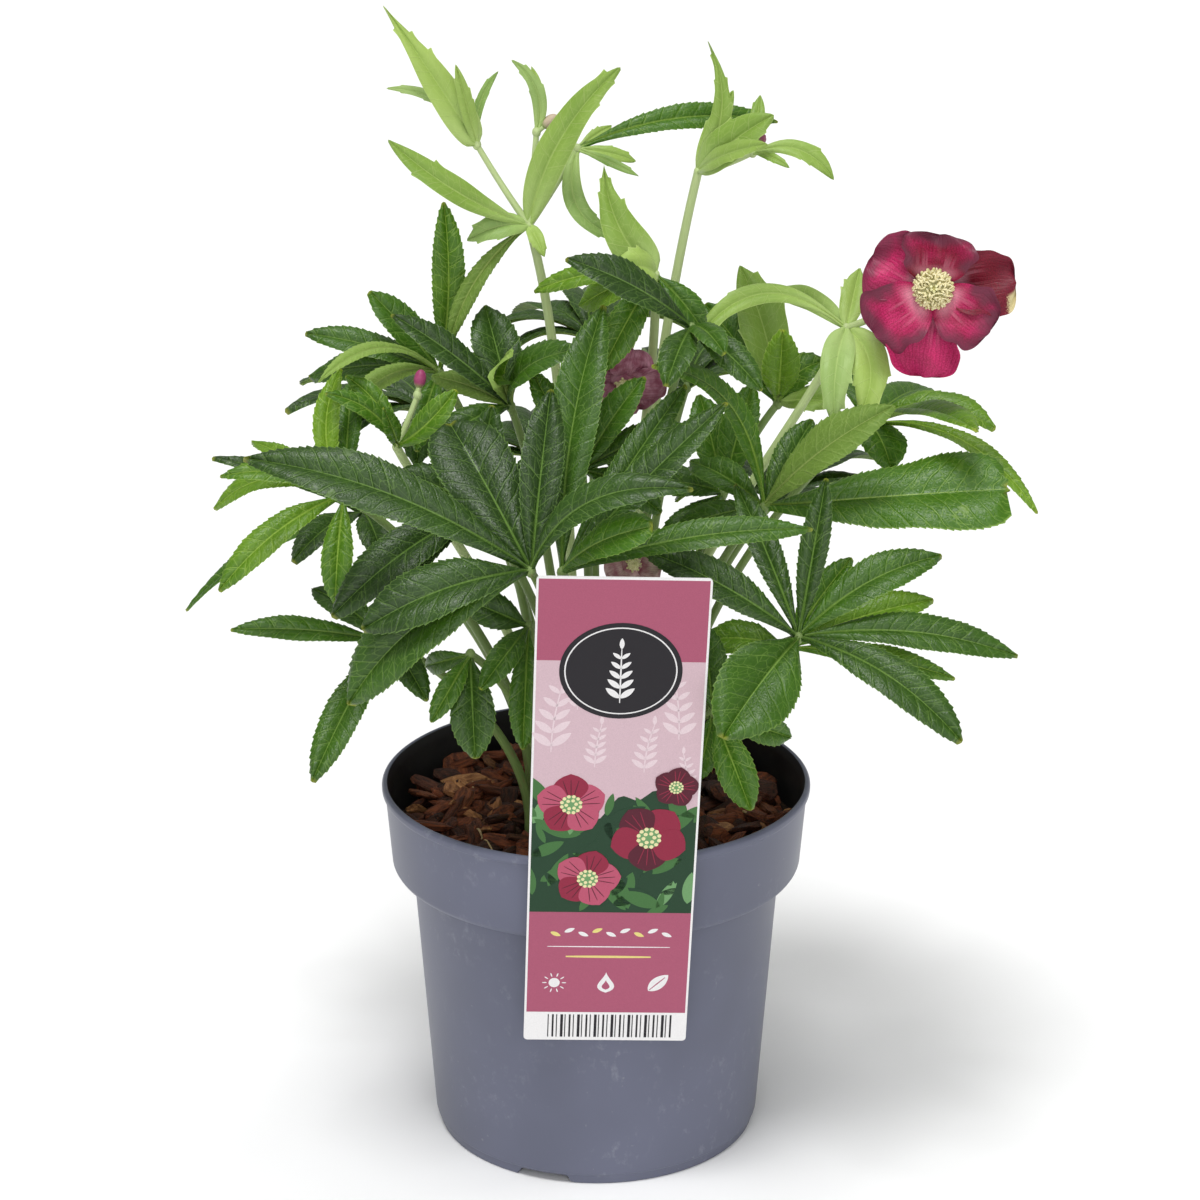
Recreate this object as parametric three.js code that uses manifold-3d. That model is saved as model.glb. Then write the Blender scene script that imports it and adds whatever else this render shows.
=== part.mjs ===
// Hellebore in a 17 cm nursery pot. Millimetres, +Z up, the pot's axis on Z and its foot on z = 0.
// The plant's front is -Y. Every leaf, flowering stem and bloom is one closed solid.
import * as THREE from "three";
import { mergeVertices } from "three/addons/utils/BufferGeometryUtils.js";
import Module from "manifold-3d";

const wasm = await Module();
wasm.setup();

// ---------------------------------------------------------------- driving dimensions
const rimRadius = 85;
const potHeight = 146.7;
const wall = 1.6;
const footRadius = 64.3;
const footHeight = 4;
const bodySlope = 0.07;
const collarBottom = 112;
const collarRadius = 81.4;
const lipHeight = 4.2;
const turns = 36;

const notchCount = 3;
const notchAngle = -108.7;
const notchWidth = 23;
const notchHeight = 3.4;
const drainRadius = 5;
const drainCircle = 44;
const drainCount = 6;

const gap = 0.4;
const barkFloor = 120;
const barkTop = 125.5;
const barkRelief = 2.6;
const crownRadius = 38;
const mulchRadius = 79.4;
const chipCount = 12;

const stemFoot = 100;
const stemClear = 136;
const holeRadius = 3.4;

const labelSize = { width: 61.9, height: 198.9, thick: 0.8, corner: 1.5 };
const labelCentre = [6.8, -90.9, 166.6];
const labelTurn = { yaw: 2, lean: 9.3, roll: 1.7 };
const hookWidth = 24;

const bladeThickness = 1.3;
const cornerGap = 0.004;
const mostAttempts = 40;
const thickening = 0.0071;
const stalkHalfWidth = 1.1;
const hubRadius = 3.2;
const endRadius = 2.2;
const budSize = [2.6, 2.6, 3.9];
const sepalRoot = 1.8;
const toothDepth = 0.14;
const foldAngle = 0.28;
const slenderness = 0.98;
const sampleStep = 3;
const clearance = 3.6;
const kinClearance = 3;
const rootZone = 16;

// ---------------------------------------------------------------- small helpers
const radians = THREE.MathUtils.degToRad;
const vec = (point) => new THREE.Vector3(...point);

/** A repeatable stream of numbers from 0 to 1. */
function seeded(seed) {
  let state = seed;
  return () => {
    state = (state * 16807) % 2147483647;
    return state / 2147483647;
  };
}

function solidFrom(points, faces) {
  return new wasm.Manifold(new wasm.Mesh({
    numProp: 3,
    vertProperties: Float32Array.from(points.flatMap((p) => [p.x, p.y, p.z])),
    triVerts: Uint32Array.from(faces.flat()),
  }));
}

function solidOf(geometry) {
  geometry.deleteAttribute("normal");
  geometry.deleteAttribute("uv");
  const merged = mergeVertices(geometry, 1e-4);
  return new wasm.Manifold(new wasm.Mesh({
    numProp: 3,
    vertProperties: Float32Array.from(merged.attributes.position.array),
    triVerts: Uint32Array.from(merged.index.array),
  }));
}

const join = (solids) => solids.reduce((whole, next) => whole.add(next));

/** The one body of a joined solid, without loose scraps or sealed hollows. */
function mainBody(solid) {
  const bodies = solid.decompose();
  return bodies.reduce((best, next) => (next.volume() > best.volume() ? next : best));
}

/** Whether two corners of a solid lie so close together that they are all but one. */
function hasNearCorners(solid) {
  const { vertProperties } = solid.getMesh();
  const seen = new Map();
  for (let i = 0; i < vertProperties.length; i += 3) {
    const corner = vertProperties.slice(i, i + 3);
    const at = Array.from(corner, (value) => Math.floor(value / cornerGap));
    for (let n = 0; n < 27; n += 1) {
      const step = [n % 3, Math.floor(n / 3) % 3, Math.floor(n / 9)];
      const other = seen.get(at.map((value, k) => value + step[k] - 1).join());
      if (other && Math.hypot(...corner.map((value, k) => value - other[k])) < cornerGap) {
        return true;
      }
    }
    seen.set(at.join(), corner);
  }
  return false;
}

/** Builds a solid, a hair thicker each time, until no two of its corners nearly touch. */
function joinCleanly(build) {
  let solid = null;
  for (let attempt = 0; attempt < mostAttempts; attempt += 1) {
    solid = mainBody(build(bladeThickness * (1 + thickening * attempt)));
    if (!hasNearCorners(solid)) {
      break;
    }
  }
  return solid;
}

function meshOf(name, solid, colour, roughness) {
  const { vertProperties, triVerts } = mainBody(solid).getMesh();
  const geometry = new THREE.BufferGeometry();
  geometry.setAttribute("position", new THREE.BufferAttribute(vertProperties, 3));
  geometry.setIndex(new THREE.BufferAttribute(triVerts, 1));
  geometry.computeVertexNormals();
  const material = new THREE.MeshStandardMaterial({ color: colour, roughness, metalness: 0 });
  const mesh = new THREE.Mesh(geometry, material);
  mesh.name = name;
  return mesh;
}

/** Points of a profile, given as radius and height, spun round Z. */
function spun(profile, sides = turns) {
  const points = profile.map(([radius, height]) => new THREE.Vector2(radius, height));
  return solidOf(new THREE.LatheGeometry(points, sides).rotateX(Math.PI / 2));
}

const upright = (x, y, from, to, radius, sides) =>
  solidOf(new THREE.CylinderGeometry(radius, radius, to - from, sides)
    .rotateX(Math.PI / 2).translate(x, y, (from + to) / 2));

// ---------------------------------------------------------------- pot
const bodyOuter = (height) => footRadius + 1.2 + bodySlope * height;
const bodyInner = (height) => bodyOuter(height) - wall;

function buildPot() {
  const lipRadius = rimRadius - 1.3;
  const shell = spun([
    [0, footHeight],
    [footRadius - 4.5, footHeight],
    [footRadius - 3.5, 0],
    [footRadius, 0],
    [footRadius + 0.5, footHeight],
    [bodyOuter(footHeight), footHeight + 0.6],
    [bodyOuter(collarBottom), collarBottom - 0.8],
    [collarRadius - 1.2, collarBottom],
    [collarRadius, collarBottom + 1.8],
    [lipRadius, potHeight - lipHeight],
    [rimRadius, potHeight - lipHeight + 1],
    [rimRadius, potHeight - 1],
    [rimRadius - 1, potHeight],
    [rimRadius - 2, potHeight],
    [lipRadius - wall, potHeight - lipHeight],
    [collarRadius - wall, collarBottom + 3.4],
    [bodyInner(collarBottom) + 0.2, collarBottom + 0.8],
    [bodyInner(footHeight + 2), footHeight + 2],
    [0, footHeight + 2],
  ]);
  let pot = shell;
  for (let i = 0; i < notchCount; i += 1) {
    pot = pot.subtract(footNotch(radians(notchAngle + (360 / notchCount) * i)));
  }
  for (let i = 0; i < drainCount; i += 1) {
    const angle = (2 * Math.PI * i) / drainCount;
    const [x, y] = [drainCircle * Math.cos(angle), drainCircle * Math.sin(angle)];
    pot = pot.subtract(upright(x, y, footHeight - 1, footHeight + 3, drainRadius, 8));
  }
  return pot;
}

/** A shallow notch with slanted ends across the foot ring. */
function footNotch(angle) {
  const shape = new THREE.Shape([
    new THREE.Vector2(-notchWidth / 2, -1),
    new THREE.Vector2(notchWidth / 2, -1),
    new THREE.Vector2(notchWidth / 2 - 2, notchHeight),
    new THREE.Vector2(2 - notchWidth / 2, notchHeight),
  ]);
  const bar = new THREE.ExtrudeGeometry(shape, { depth: 12, bevelEnabled: false });
  bar.rotateX(Math.PI / 2).rotateZ(Math.PI).translate(0, footRadius - 7, 0);
  return solidOf(bar.rotateZ(angle - Math.PI / 2));
}

// ---------------------------------------------------------------- the mix and its bark
/** The mix under the bark: it fills the pot to just under the bark's lowest hollows. */
function mixBelow() {
  const floor = footHeight + 2 + gap;
  return spun([
    [0, floor],
    [bodyInner(floor) - gap, floor],
    [bodyInner(collarBottom) - gap, collarBottom + 1.2],
    [mulchRadius - 1, collarBottom + 4.4],
    [mulchRadius - 0.6, barkFloor + 0.6],
    [0, barkFloor + 0.6],
  ]);
}

/** The bark on top: rings of points at uneven, seeded heights round a flatter crown. */
function barkLayer(draw) {
  const rings = 5;
  const spokes = 18;
  const points = [new THREE.Vector3(0, 0, barkTop)];
  for (let ring = 1; ring <= rings; ring += 1) {
    for (let spoke = 0; spoke < spokes; spoke += 1) {
      const angle = (2 * Math.PI * (spoke + 0.5 * (ring % 2))) / spokes;
      const radius = THREE.MathUtils.lerp(crownRadius, mulchRadius, (ring - 1) / (rings - 1));
      const height = barkTop + barkRelief * (2 * draw() - 1) * (ring < rings ? 1 : 0.6);
      points.push(new THREE.Vector3(radius * Math.cos(angle), radius * Math.sin(angle), height));
    }
  }
  const at = (ring, spoke) => 1 + (ring - 1) * spokes + ((spoke + spokes) % spokes);
  const faces = [];
  for (let spoke = 0; spoke < spokes; spoke += 1) {
    faces.push([0, at(1, spoke), at(1, spoke + 1)]);
    for (let ring = 1; ring < rings; ring += 1) {
      const [a, b] = [at(ring, spoke), at(ring, spoke + 1)];
      const [c, d] = [at(ring + 1, spoke + (ring % 2)), at(ring + 1, spoke + (ring % 2) + 1)];
      faces.push(...(ring % 2 ? [[a, c, b], [b, c, d]] : [[a, c, d], [a, d, b]]));
    }
  }
  const base = points.length;
  points.push(new THREE.Vector3(0, 0, barkFloor));
  for (let spoke = 0; spoke < spokes; spoke += 1) {
    points.push(points[at(rings, spoke)].clone().setZ(barkFloor));
  }
  for (let spoke = 0; spoke < spokes; spoke += 1) {
    const [low, lowNext] = [base + 1 + spoke, base + 1 + ((spoke + 1) % spokes)];
    const [high, highNext] = [at(rings, spoke), at(rings, spoke + 1)];
    faces.push([base, lowNext, low], [low, lowNext, highNext], [low, highNext, high]);
  }
  return solidFrom(points, faces);
}

function barkChip(draw) {
  const radius = crownRadius + 6 + 30 * Math.sqrt(draw());
  const angle = 2 * Math.PI * draw();
  const chip = new THREE.BoxGeometry(8 + 8 * draw(), 4 + 4 * draw(), 2.4 + 1.2 * draw());
  chip.rotateX(0.5 * (draw() - 0.5)).rotateY(0.5 * (draw() - 0.5)).rotateZ(2 * Math.PI * draw());
  return solidOf(chip.translate(radius * Math.cos(angle), radius * Math.sin(angle), barkTop + 0.8));
}

/** The filling of the pot, with a plain hole for each stalk. */
function buildMix(feet) {
  const draw = seeded(4021);
  const chips = Array.from({ length: chipCount }, () => barkChip(draw));
  const holes = feet.map(([x, y]) => upright(x, y, stemFoot - 1, barkTop + 12, holeRadius, 5));
  return join([mixBelow(), barkLayer(draw), ...chips]).subtract(join(holes));
}

// ---------------------------------------------------------------- label
const labelMatrix = new THREE.Matrix4()
  .makeTranslation(...labelCentre)
  .multiply(new THREE.Matrix4().makeRotationZ(radians(labelTurn.yaw)))
  .multiply(new THREE.Matrix4().makeRotationX(radians(labelTurn.lean)))
  .multiply(new THREE.Matrix4().makeRotationY(radians(labelTurn.roll)));

/** A flat plate with a strip on its back that goes over the pot's rim and down inside. */
function buildLabel() {
  const { width, height, thick, corner } = labelSize;
  const [right, top] = [width / 2, height / 2];
  const shape = new THREE.Shape();
  shape.moveTo(corner - right, -top);
  shape.lineTo(right - corner, -top);
  shape.absarc(right - corner, corner - top, corner, -Math.PI / 2, 0);
  shape.lineTo(right, top - corner);
  shape.absarc(right - corner, top - corner, corner, 0, Math.PI / 2);
  shape.lineTo(corner - right, top);
  shape.absarc(corner - right, top - corner, corner, Math.PI / 2, Math.PI);
  shape.lineTo(-right, corner - top);
  shape.absarc(corner - right, corner - top, corner, Math.PI, 1.5 * Math.PI);
  const plate = new THREE.ExtrudeGeometry(shape, { depth: thick, bevelEnabled: false, curveSegments: 3 });
  plate.rotateX(Math.PI / 2).translate(0, thick / 2, 0).applyMatrix4(labelMatrix);
  return join([solidOf(plate), labelHook()]);
}

function labelHook() {
  const front = -rimRadius - 2.8;
  const back = -rimRadius + 5.8;
  const over = potHeight + gap;
  const { thick } = labelSize;
  const outline = [
    [front, over], [back, over], [back + 1.6, over - 17], [back + 1.6 + thick, over - 17],
    [back + thick, over + thick], [front, over + thick],
  ];
  const shape = new THREE.Shape(outline.map(([y, z]) => new THREE.Vector2(y, z)));
  const strip = new THREE.ExtrudeGeometry(shape, { depth: hookWidth, bevelEnabled: false });
  strip.rotateX(Math.PI / 2).rotateZ(Math.PI / 2).translate(labelCentre[0] - hookWidth / 2 - 2, 0, 0);
  return solidOf(strip);
}

// ---------------------------------------------------------------- stems
/** A round stalk along the given points, as rings joined into a closed tube. */
function tube(points, radii, sides = 5) {
  const steps = points.length - 1;
  const vertices = [];
  const faces = [];
  let across = new THREE.Vector3(1, 0, 0);
  points.forEach((centre, i) => {
    const along = points[Math.min(i + 1, steps)].clone().sub(points[Math.max(i - 1, 0)]).normalize();
    across = across.clone().addScaledVector(along, -across.dot(along)).normalize();
    const up = new THREE.Vector3().crossVectors(along, across);
    const radius = THREE.MathUtils.lerp(radii[0], radii[1], i / steps);
    for (let k = 0; k < sides; k += 1) {
      const angle = (2 * Math.PI * k) / sides;
      vertices.push(centre.clone()
        .addScaledVector(across, radius * Math.cos(angle))
        .addScaledVector(up, radius * Math.sin(angle)));
    }
  });
  for (let i = 0; i < steps; i += 1) {
    for (let k = 0; k < sides; k += 1) {
      const [a, b] = [i * sides + k, i * sides + ((k + 1) % sides)];
      faces.push([a, b, b + sides], [a, b + sides, a + sides]);
    }
  }
  const last = steps * sides;
  for (let k = 1; k < sides - 1; k += 1) {
    faces.push([0, k + 1, k], [last, last + k, last + k + 1]);
  }
  return solidFrom(vertices, faces);
}

// ---------------------------------------------------------------- blades
const forms = {
  leaflet: { base: 1.15, end: 0.8, toothed: true, blunt: false, fold: foldAngle, wave: 0.05 },
  blunt: { base: 1.05, end: 0.42, toothed: true, blunt: true, fold: 0.16, wave: 0.04 },
  bract: { base: 0.6, end: 0.75, toothed: false, blunt: false, fold: foldAngle, wave: 0.06 },
  lance: { base: 1.1, end: 0.85, toothed: false, blunt: false, fold: foldAngle, wave: 0.06 },
  sheath: { base: 0.42, end: 1.2, toothed: false, blunt: false, fold: foldAngle, wave: 0.06 },
  torn: { base: 0.9, end: 0.2, toothed: true, blunt: true, fold: 0.1, wave: 0.04 },
  sepal: { base: 0.62, end: 0.3, toothed: false, blunt: true, fold: 0.08, wave: 0.03 },
};

/** How wide a blade is at t along it, from 0 to 1, as a share of its full width. */
function fullness(form, t) {
  const widest = form.base / (form.base + form.end);
  const most = widest ** form.base * (1 - widest) ** form.end;
  return (t ** form.base * (1 - t) ** form.end) / most;
}

function perpendicular(direction, along) {
  return direction.clone().addScaledVector(along, -direction.dot(along)).normalize();
}

/** A blade's curve from root to tip: its midrib arches by arch, and bends sideways by bend. */
function makeBlade({ root, tip, width, arch, roll, bend = 0, face, form, phase }) {
  const along = tip.clone().sub(root).normalize();
  const up = perpendicular(face, along);
  const side = new THREE.Vector3().crossVectors(along, up);
  const control = root.clone().add(tip).multiplyScalar(0.5)
    .addScaledVector(up, 2 * arch)
    .addScaledVector(side, 2 * bend);
  return { root, tip, control, width, roll: radians(roll), face, form, phase };
}

function bladeAxes(blade, t) {
  const u = 1 - t;
  const centre = blade.root.clone().multiplyScalar(u * u)
    .addScaledVector(blade.control, 2 * u * t)
    .addScaledVector(blade.tip, t * t);
  const along = blade.control.clone().sub(blade.root).multiplyScalar(u)
    .addScaledVector(blade.tip.clone().sub(blade.control), t).normalize();
  const up = perpendicular(blade.face, along).applyAxisAngle(along, blade.roll);
  const side = new THREE.Vector3().crossVectors(along, up);
  return { centre, up, side };
}

/** A point of the blade at t along it and s across it, from -1 to 1. */
function bladePoint(blade, t, s, reach = 1) {
  const { centre, up, side } = bladeAxes(blade, t);
  const { form, width, phase } = blade;
  const least = t < 0.5 ? stalkHalfWidth : 0;
  const half = Math.max(least, (width / 2) * fullness(form, t)) * reach;
  const wave = form.wave * width * Math.sin(9 * t + phase + (s > 0 ? 1.7 : 0)) * s * s * t;
  return centre
    .addScaledVector(side, half * s * Math.cos(form.fold))
    .addScaledVector(up, half * Math.abs(s) * Math.sin(form.fold) + wave);
}

/** Where along a blade its cross-sections stand, from the root on; the tip closes it. */
function bladeStations(blade) {
  const length = blade.root.distanceTo(blade.tip);
  const steps = 3 + (length > 24) + (length > 58);
  const stations = Array.from({ length: steps }, (_, i) => i / steps);
  return blade.form.blunt ? [...stations, 0.94] : stations;
}

function bladeSolid(blade, thickness) {
  const stations = bladeStations(blade);
  const toothed = blade.form.toothed && blade.width > 9;
  const points = [];
  const faces = [];
  const put = (point) => points.push(point) - 1;
  const both = (top, bottom, a, b, c) => {
    const pick = (corner, side) => (Array.isArray(corner) ? corner[side] : corner);
    faces.push([a, b, c].map((corner) => pick(corner, top)));
    faces.push([a, c, b].map((corner) => pick(corner, bottom)));
  };
  const rows = [];
  stations.forEach((t, i) => {
    const { centre, up } = bladeAxes(blade, t);
    const thick = (thickness / 2) * (i === 0 ? 1.3 : 1);
    const between = THREE.MathUtils.lerp(t, stations[i + 1], 0.72);
    rows.push({
      mid: [put(centre.clone().addScaledVector(up, thick)), put(centre.clone().addScaledVector(up, -thick))],
      edges: [-1, 1].map((s) => put(bladePoint(blade, t, s))),
      teeth: [-1, 1].map((s) => (toothed && i > 0 && i < stations.length - 1
        ? put(bladePoint(blade, between, s, 1 + toothDepth)) : null)),
    });
  });
  const tip = put(blade.tip);
  rows.forEach((row, i) => {
    const next = rows[i + 1];
    [0, 1].forEach((k) => {
      const [top, bottom] = k === 1 ? [0, 1] : [1, 0];
      const [edge, tooth] = [row.edges[k], row.teeth[k]];
      if (!next) {
        both(top, bottom, row.mid, edge, tip);
      } else if (tooth === null) {
        both(top, bottom, row.mid, edge, next.edges[k]);
        both(top, bottom, row.mid, next.edges[k], next.mid);
      } else {
        both(top, bottom, row.mid, edge, tooth);
        both(top, bottom, row.mid, tooth, next.mid);
        both(top, bottom, next.mid, tooth, next.edges[k]);
      }
    });
  });
  const [upper, lower] = rows[0].mid;
  const [left, right] = rows[0].edges;
  faces.push([upper, left, lower], [upper, lower, right]);
  return solidFrom(points, faces);
}

// ---------------------------------------------------------------- keeping clear of one another
const cell = 8;
const taken = new Map();
const cellKey = (x, y, z) => `${Math.floor(x / cell)},${Math.floor(y / cell)},${Math.floor(z / cell)}`;

function take(point, owner, extra = 0) {
  const key = cellKey(point.x, point.y, point.z);
  if (!taken.has(key)) {
    taken.set(key, []);
  }
  taken.get(key).push({ point, owner, extra });
}

function bladeSamples(blade) {
  const length = blade.root.distanceTo(blade.tip);
  const rows = Math.max(4, Math.ceil(length / sampleStep));
  const samples = [];
  for (let i = 1; i <= rows; i += 1) {
    const t = i / rows;
    const half = (blade.width / 2) * fullness(blade.form, Math.min(t, 0.999));
    const columns = Math.max(1, Math.ceil(half / sampleStep));
    for (let k = -columns; k <= columns; k += 1) {
      samples.push(bladePoint(blade, Math.min(t, 0.999), k / columns));
    }
  }
  return samples;
}

function overPot({ x, y, z }) {
  const radius = Math.hypot(x, y);
  return radius < rimRadius - 5 ? z > barkTop + 8 : radius > rimRadius + 5 || z > potHeight + 5;
}

/** True where a point keeps clear of all that is in place; near its own root it may touch its kin. */
function isFree(point, owner, root) {
  if (!overPot(point)) {
    return false;
  }
  const nearRoot = point.distanceTo(root) < rootZone;
  for (let i = -1; i <= 1; i += 1) {
    for (let j = -1; j <= 1; j += 1) {
      for (let k = -1; k <= 1; k += 1) {
        const near = taken.get(cellKey(point.x + i * cell, point.y + j * cell, point.z + k * cell)) ?? [];
        for (const other of near) {
          const kin = other.owner === owner;
          if (kin && (nearRoot || other.point.distanceTo(root) < rootZone)) {
            continue;
          }
          const least = (kin ? kinClearance : clearance) + other.extra;
          if (other.point.distanceTo(point) < least) {
            return false;
          }
        }
      }
    }
  }
  return true;
}

// A blade that would cross something is bent back or forward along this line, and then made shorter.
const recede = new THREE.Vector3(0, 0.94, -0.34);
const shifts = [0, 6, -6, 12, -12, 18, -18, 24, -24, 30, -30, 36, -36];
const shares = [1, 0.86, 0.72];

function fitBlade(spec, owner) {
  for (const share of shares) {
    for (const shift of shifts) {
      const tip = spec.tip.clone().addScaledVector(recede, shift).sub(spec.root)
        .multiplyScalar(share).add(spec.root);
      const blade = makeBlade({ ...spec, tip, width: spec.width * share });
      const samples = bladeSamples(blade);
      if (samples.every((point) => isFree(point, owner, spec.root))) {
        samples.forEach((point) => take(point, owner));
        return blade;
      }
    }
  }
  return null;
}

// ---------------------------------------------------------------- the plant's leaves and stems
const front = [0, -0.62, 0.78];
const above = [0, -0.3, 0.95];
const level = [0, 0.05, 1];
const viewer = [0, -0.93, 0.36];
const open = [0, -0.8, 0.6];

// Each tuft is a point on the plant with its blades: tip x, y, z, width, arch, roll, sideways bend and form.
const plants = [
  {
    name: "leaf_front", foot: [-8, -24], face: front, kind: "leaf",
    tufts: [{ at: [-23, -92, 262], blades: [
      [-125, -80, 300, 23, 9, 0, 3],
      [-88, -102, 215, 26, 12, -4, 3],
      [-82, -96, 241, 23, 8, -4, 0],
      [-53, -62, 309, 29, 3, 0, 0, "blunt"],
      [-16, -66, 322, 16, 3, 8, 0],
      [34, -106, 296, 15, 13, 0, -6],
    ] }],
  },
  {
    name: "leaf_centre", foot: [4, -26], face: front, kind: "leaf",
    tufts: [{ at: [-12, -84, 259], blades: [
      [3, -58, 353, 19, 4, 0, -4],
      [20, -106, 283, 15, 5, 10, 0, "blunt"],
      [47, -70, 318, 16, 4, -6, 0],
      [33, -50, 320, 13, 3, 0, 0],
      [77, -90, 277, 13, 8, 0, 0],
    ] }],
  },
  {
    name: "leaf_right", foot: [20, -20], face: front, kind: "leaf",
    tufts: [{ at: [74, -72, 230], blades: [
      [45, -106, 204, 31, 4, -18, 0],
      [127, -58, 257, 17, 5, 0, -3],
      [155, -68, 221, 16, 6, 0, -3],
      [131, -92, 197, 18, 7, 0, -3],
      [18, -56, 258, 17, 6, 0, 0],
      [84, -56, 286, 11, 2, 0, 0],
      [52, -44, 281, 12, 4, 0, 0],
    ] }],
  },
  {
    name: "leaf_torn", foot: [22, -8], face: front, kind: "leaf",
    tufts: [{ at: [63, -30, 267], blades: [
      [152, -40, 277, 35, 1, 0, 0, "torn"],
      [109, -48, 311, 19, 6, 0, 0],
      [20, -36, 320, 13, 3, 0, 16],
      [82, -6, 294, 14, 2, 0, 0],
      [36, 0, 276, 15, 4, 0, 0],
      [30, -24, 256, 13, 3, 0, 0],
    ] }],
  },
  {
    name: "leaf_upper_right", foot: [22, 4], face: front, kind: "leaf",
    tufts: [{ at: [70, 12, 296], blades: [
      [55, 22, 348, 20, 2, 0, 2, "lance"],
      [70, -8, 330, 15, 2, 0, 0],
      [42, 30, 331, 19, 3, 0, 0],
      [88, 4, 316, 15, 2, 0, -3],
      [92, 2, 299, 13, 2, 0, 0, "lance"],
    ] }],
  },
  {
    name: "leaf_far_right", foot: [28, 12], face: above, kind: "leaf",
    tufts: [{ at: [106, 22, 285], blades: [
      [154, 10, 286, 17, 9, 0, -3],
      [167, -22, 262, 10, 12, 0, -3],
      [139, -15, 289, 18, 6, 0, -3],
      [113, -10, 276, 19, 4, 0, 0],
      [136, 74, 285, 17, 5, 0, 0],
      [100, 66, 300, 16, 4, 0, 0],
    ] }],
  },
  {
    name: "leaf_low_right", foot: [28, -10], face: front, kind: "leaf",
    tufts: [{ at: [72, -44, 216], blades: [
      [127, -38, 233, 15, 5, 0, 0],
      [134, -56, 208, 11, 5, 0, 0],
      [41, -58, 224, 16, 4, 0, 0],
      [96, -30, 247, 13, 3, 0, 0],
    ] }],
  },
  {
    name: "leaf_over_rim", foot: [14, -32], face: viewer, kind: "leaf",
    tufts: [{ at: [44, -54, 194], blades: [
      [58, -68, 160, 15, 3, 0, 0],
      [38, -64, 170, 11, 2, 0, 0],
      [40, -50, 228, 15, 2, 0, 0],
      [74, -44, 180, 12, 4, 0, 0],
    ] }],
  },
  {
    name: "leaf_top_dark", foot: [10, -16], face: front, kind: "leaf",
    tufts: [{ at: [35, -32, 336], blades: [
      [-11, -42, 364, 17, 5, 0, 0],
      [25, -54, 318, 13, 4, 0, 0],
      [60, -54, 318, 13, 4, 0, 0],
      [46, -64, 334, 11, 4, 0, 0],
    ] }],
  },
  {
    name: "leaf_left_top", foot: [-20, 6], face: front, kind: "leaf",
    tufts: [{ at: [-60, 10, 309], blades: [
      [-57, 4, 376, 13, 2, 0, 3],
      [-86, 8, 341, 15, 2, 0, 0],
      [-111, 10, 324, 13, 4, 0, 0],
      [-101, -34, 315, 7, 9, 0, 6],
      [-111, 20, 304, 16, 6, 0, 0],
      [-92, -8, 297, 10, 5, 0, 4],
      [-68, -14, 284, 12, 4, 0, 0],
    ] }],
  },
  {
    name: "leaf_left_centre", foot: [-10, -8], face: front, kind: "leaf",
    tufts: [{ at: [-32, -15, 302], blades: [
      [-76, -18, 338, 13, 4, 0, 0],
      [-42, 2, 337, 19, 2, 0, 0],
      [-5, -40, 330, 17, 9, 0, 0],
      [-30, -44, 334, 14, 3, 0, -3],
      [-62, -25, 318, 12, 3, 0, 0],
      [-62, -34, 288, 14, 6, 0, 0],
    ] }],
  },
  {
    name: "leaf_inner_left", foot: [-6, -16], face: front, kind: "leaf",
    tufts: [{ at: [-44, -40, 268], blades: [
      [-84, -52, 240, 22, 7, 0, 0],
      [-74, -36, 282, 16, 4, 0, 0],
      [-38, -30, 306, 15, 3, 0, 0],
      [-22, -56, 268, 14, 4, 0, 0],
      [-96, -45, 228, 20, 8, 0, 0],
    ] }],
  },
  {
    name: "leaf_inner_right", foot: [-1, -15], face: front, kind: "leaf",
    tufts: [{ at: [-5, -34, 282], blades: [
      [-10, -46, 322, 14, 3, 0, 0],
      [18, -40, 320, 14, 3, 0, 0],
      [36, -38, 300, 14, 5, 0, 0],
      [24, -60, 274, 14, 6, 0, 0],
      [-30, -54, 288, 13, 5, 0, 0],
      [-24, -24, 318, 12, 2, 0, 0],
    ] }],
  },
  {
    name: "leaf_inner_far", foot: [32, 0], face: front, kind: "leaf",
    tufts: [{ at: [49, 4, 262], blades: [
      [40, 2, 304, 16, 3, 0, 0],
      [60, 6, 306, 15, 3, 0, 0],
      [22, -2, 268, 15, 4, 0, 0],
      [24, -14, 240, 15, 4, 0, 0],
    ] }],
  },
  {
    name: "leaf_far_left", foot: [-24, -12], face: front, kind: "light",
    tufts: [{ at: [-93, -42, 275], blades: [
      [-138, -48, 284, 10, 6, 0, 2],
      [-143, -30, 266, 11, 9, 0, 5],
      [-137, -70, 247, 13, 9, 0, 0],
      [-96, -64, 240, 12, 5, 0, 0],
      [-131, -18, 290, 8, 4, 0, 0],
      [-94, -28, 320, 10, 3, 0, -6],
      [-92, -6, 310, 10, 3, 0, 0],
    ] }],
  },
  {
    name: "leaf_side_left", foot: [-26, 8], face: above, kind: "leaf",
    tufts: [{ at: [-92, 24, 248], blades: [
      [-164, 28, 206, 11, 8, 0, 0],
      [-150, 20, 272, 12, 4, 0, 0],
      [-138, 62, 252, 17, 8, 0, 0],
      [-102, 78, 246, 16, 8, 0, 0],
      [-116, -14, 240, 15, 5, 0, 0],
      [-82, -14, 240, 14, 5, 0, 0],
    ] }],
  },
  {
    name: "leaf_low_left", foot: [-26, -22], face: front, kind: "leaf",
    tufts: [{ at: [-79, -40, 217], blades: [
      [-136, -52, 226, 11, 4, 0, 0],
      [-104, -84, 178, 15, 5, 0, 0],
      [-62, -72, 205, 12, 5, 0, 0],
      [-108, -22, 232, 13, 5, 0, 0],
    ] }],
  },
  {
    name: "leaf_small_left", foot: [-18, -30], face: viewer, kind: "leaf",
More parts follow.
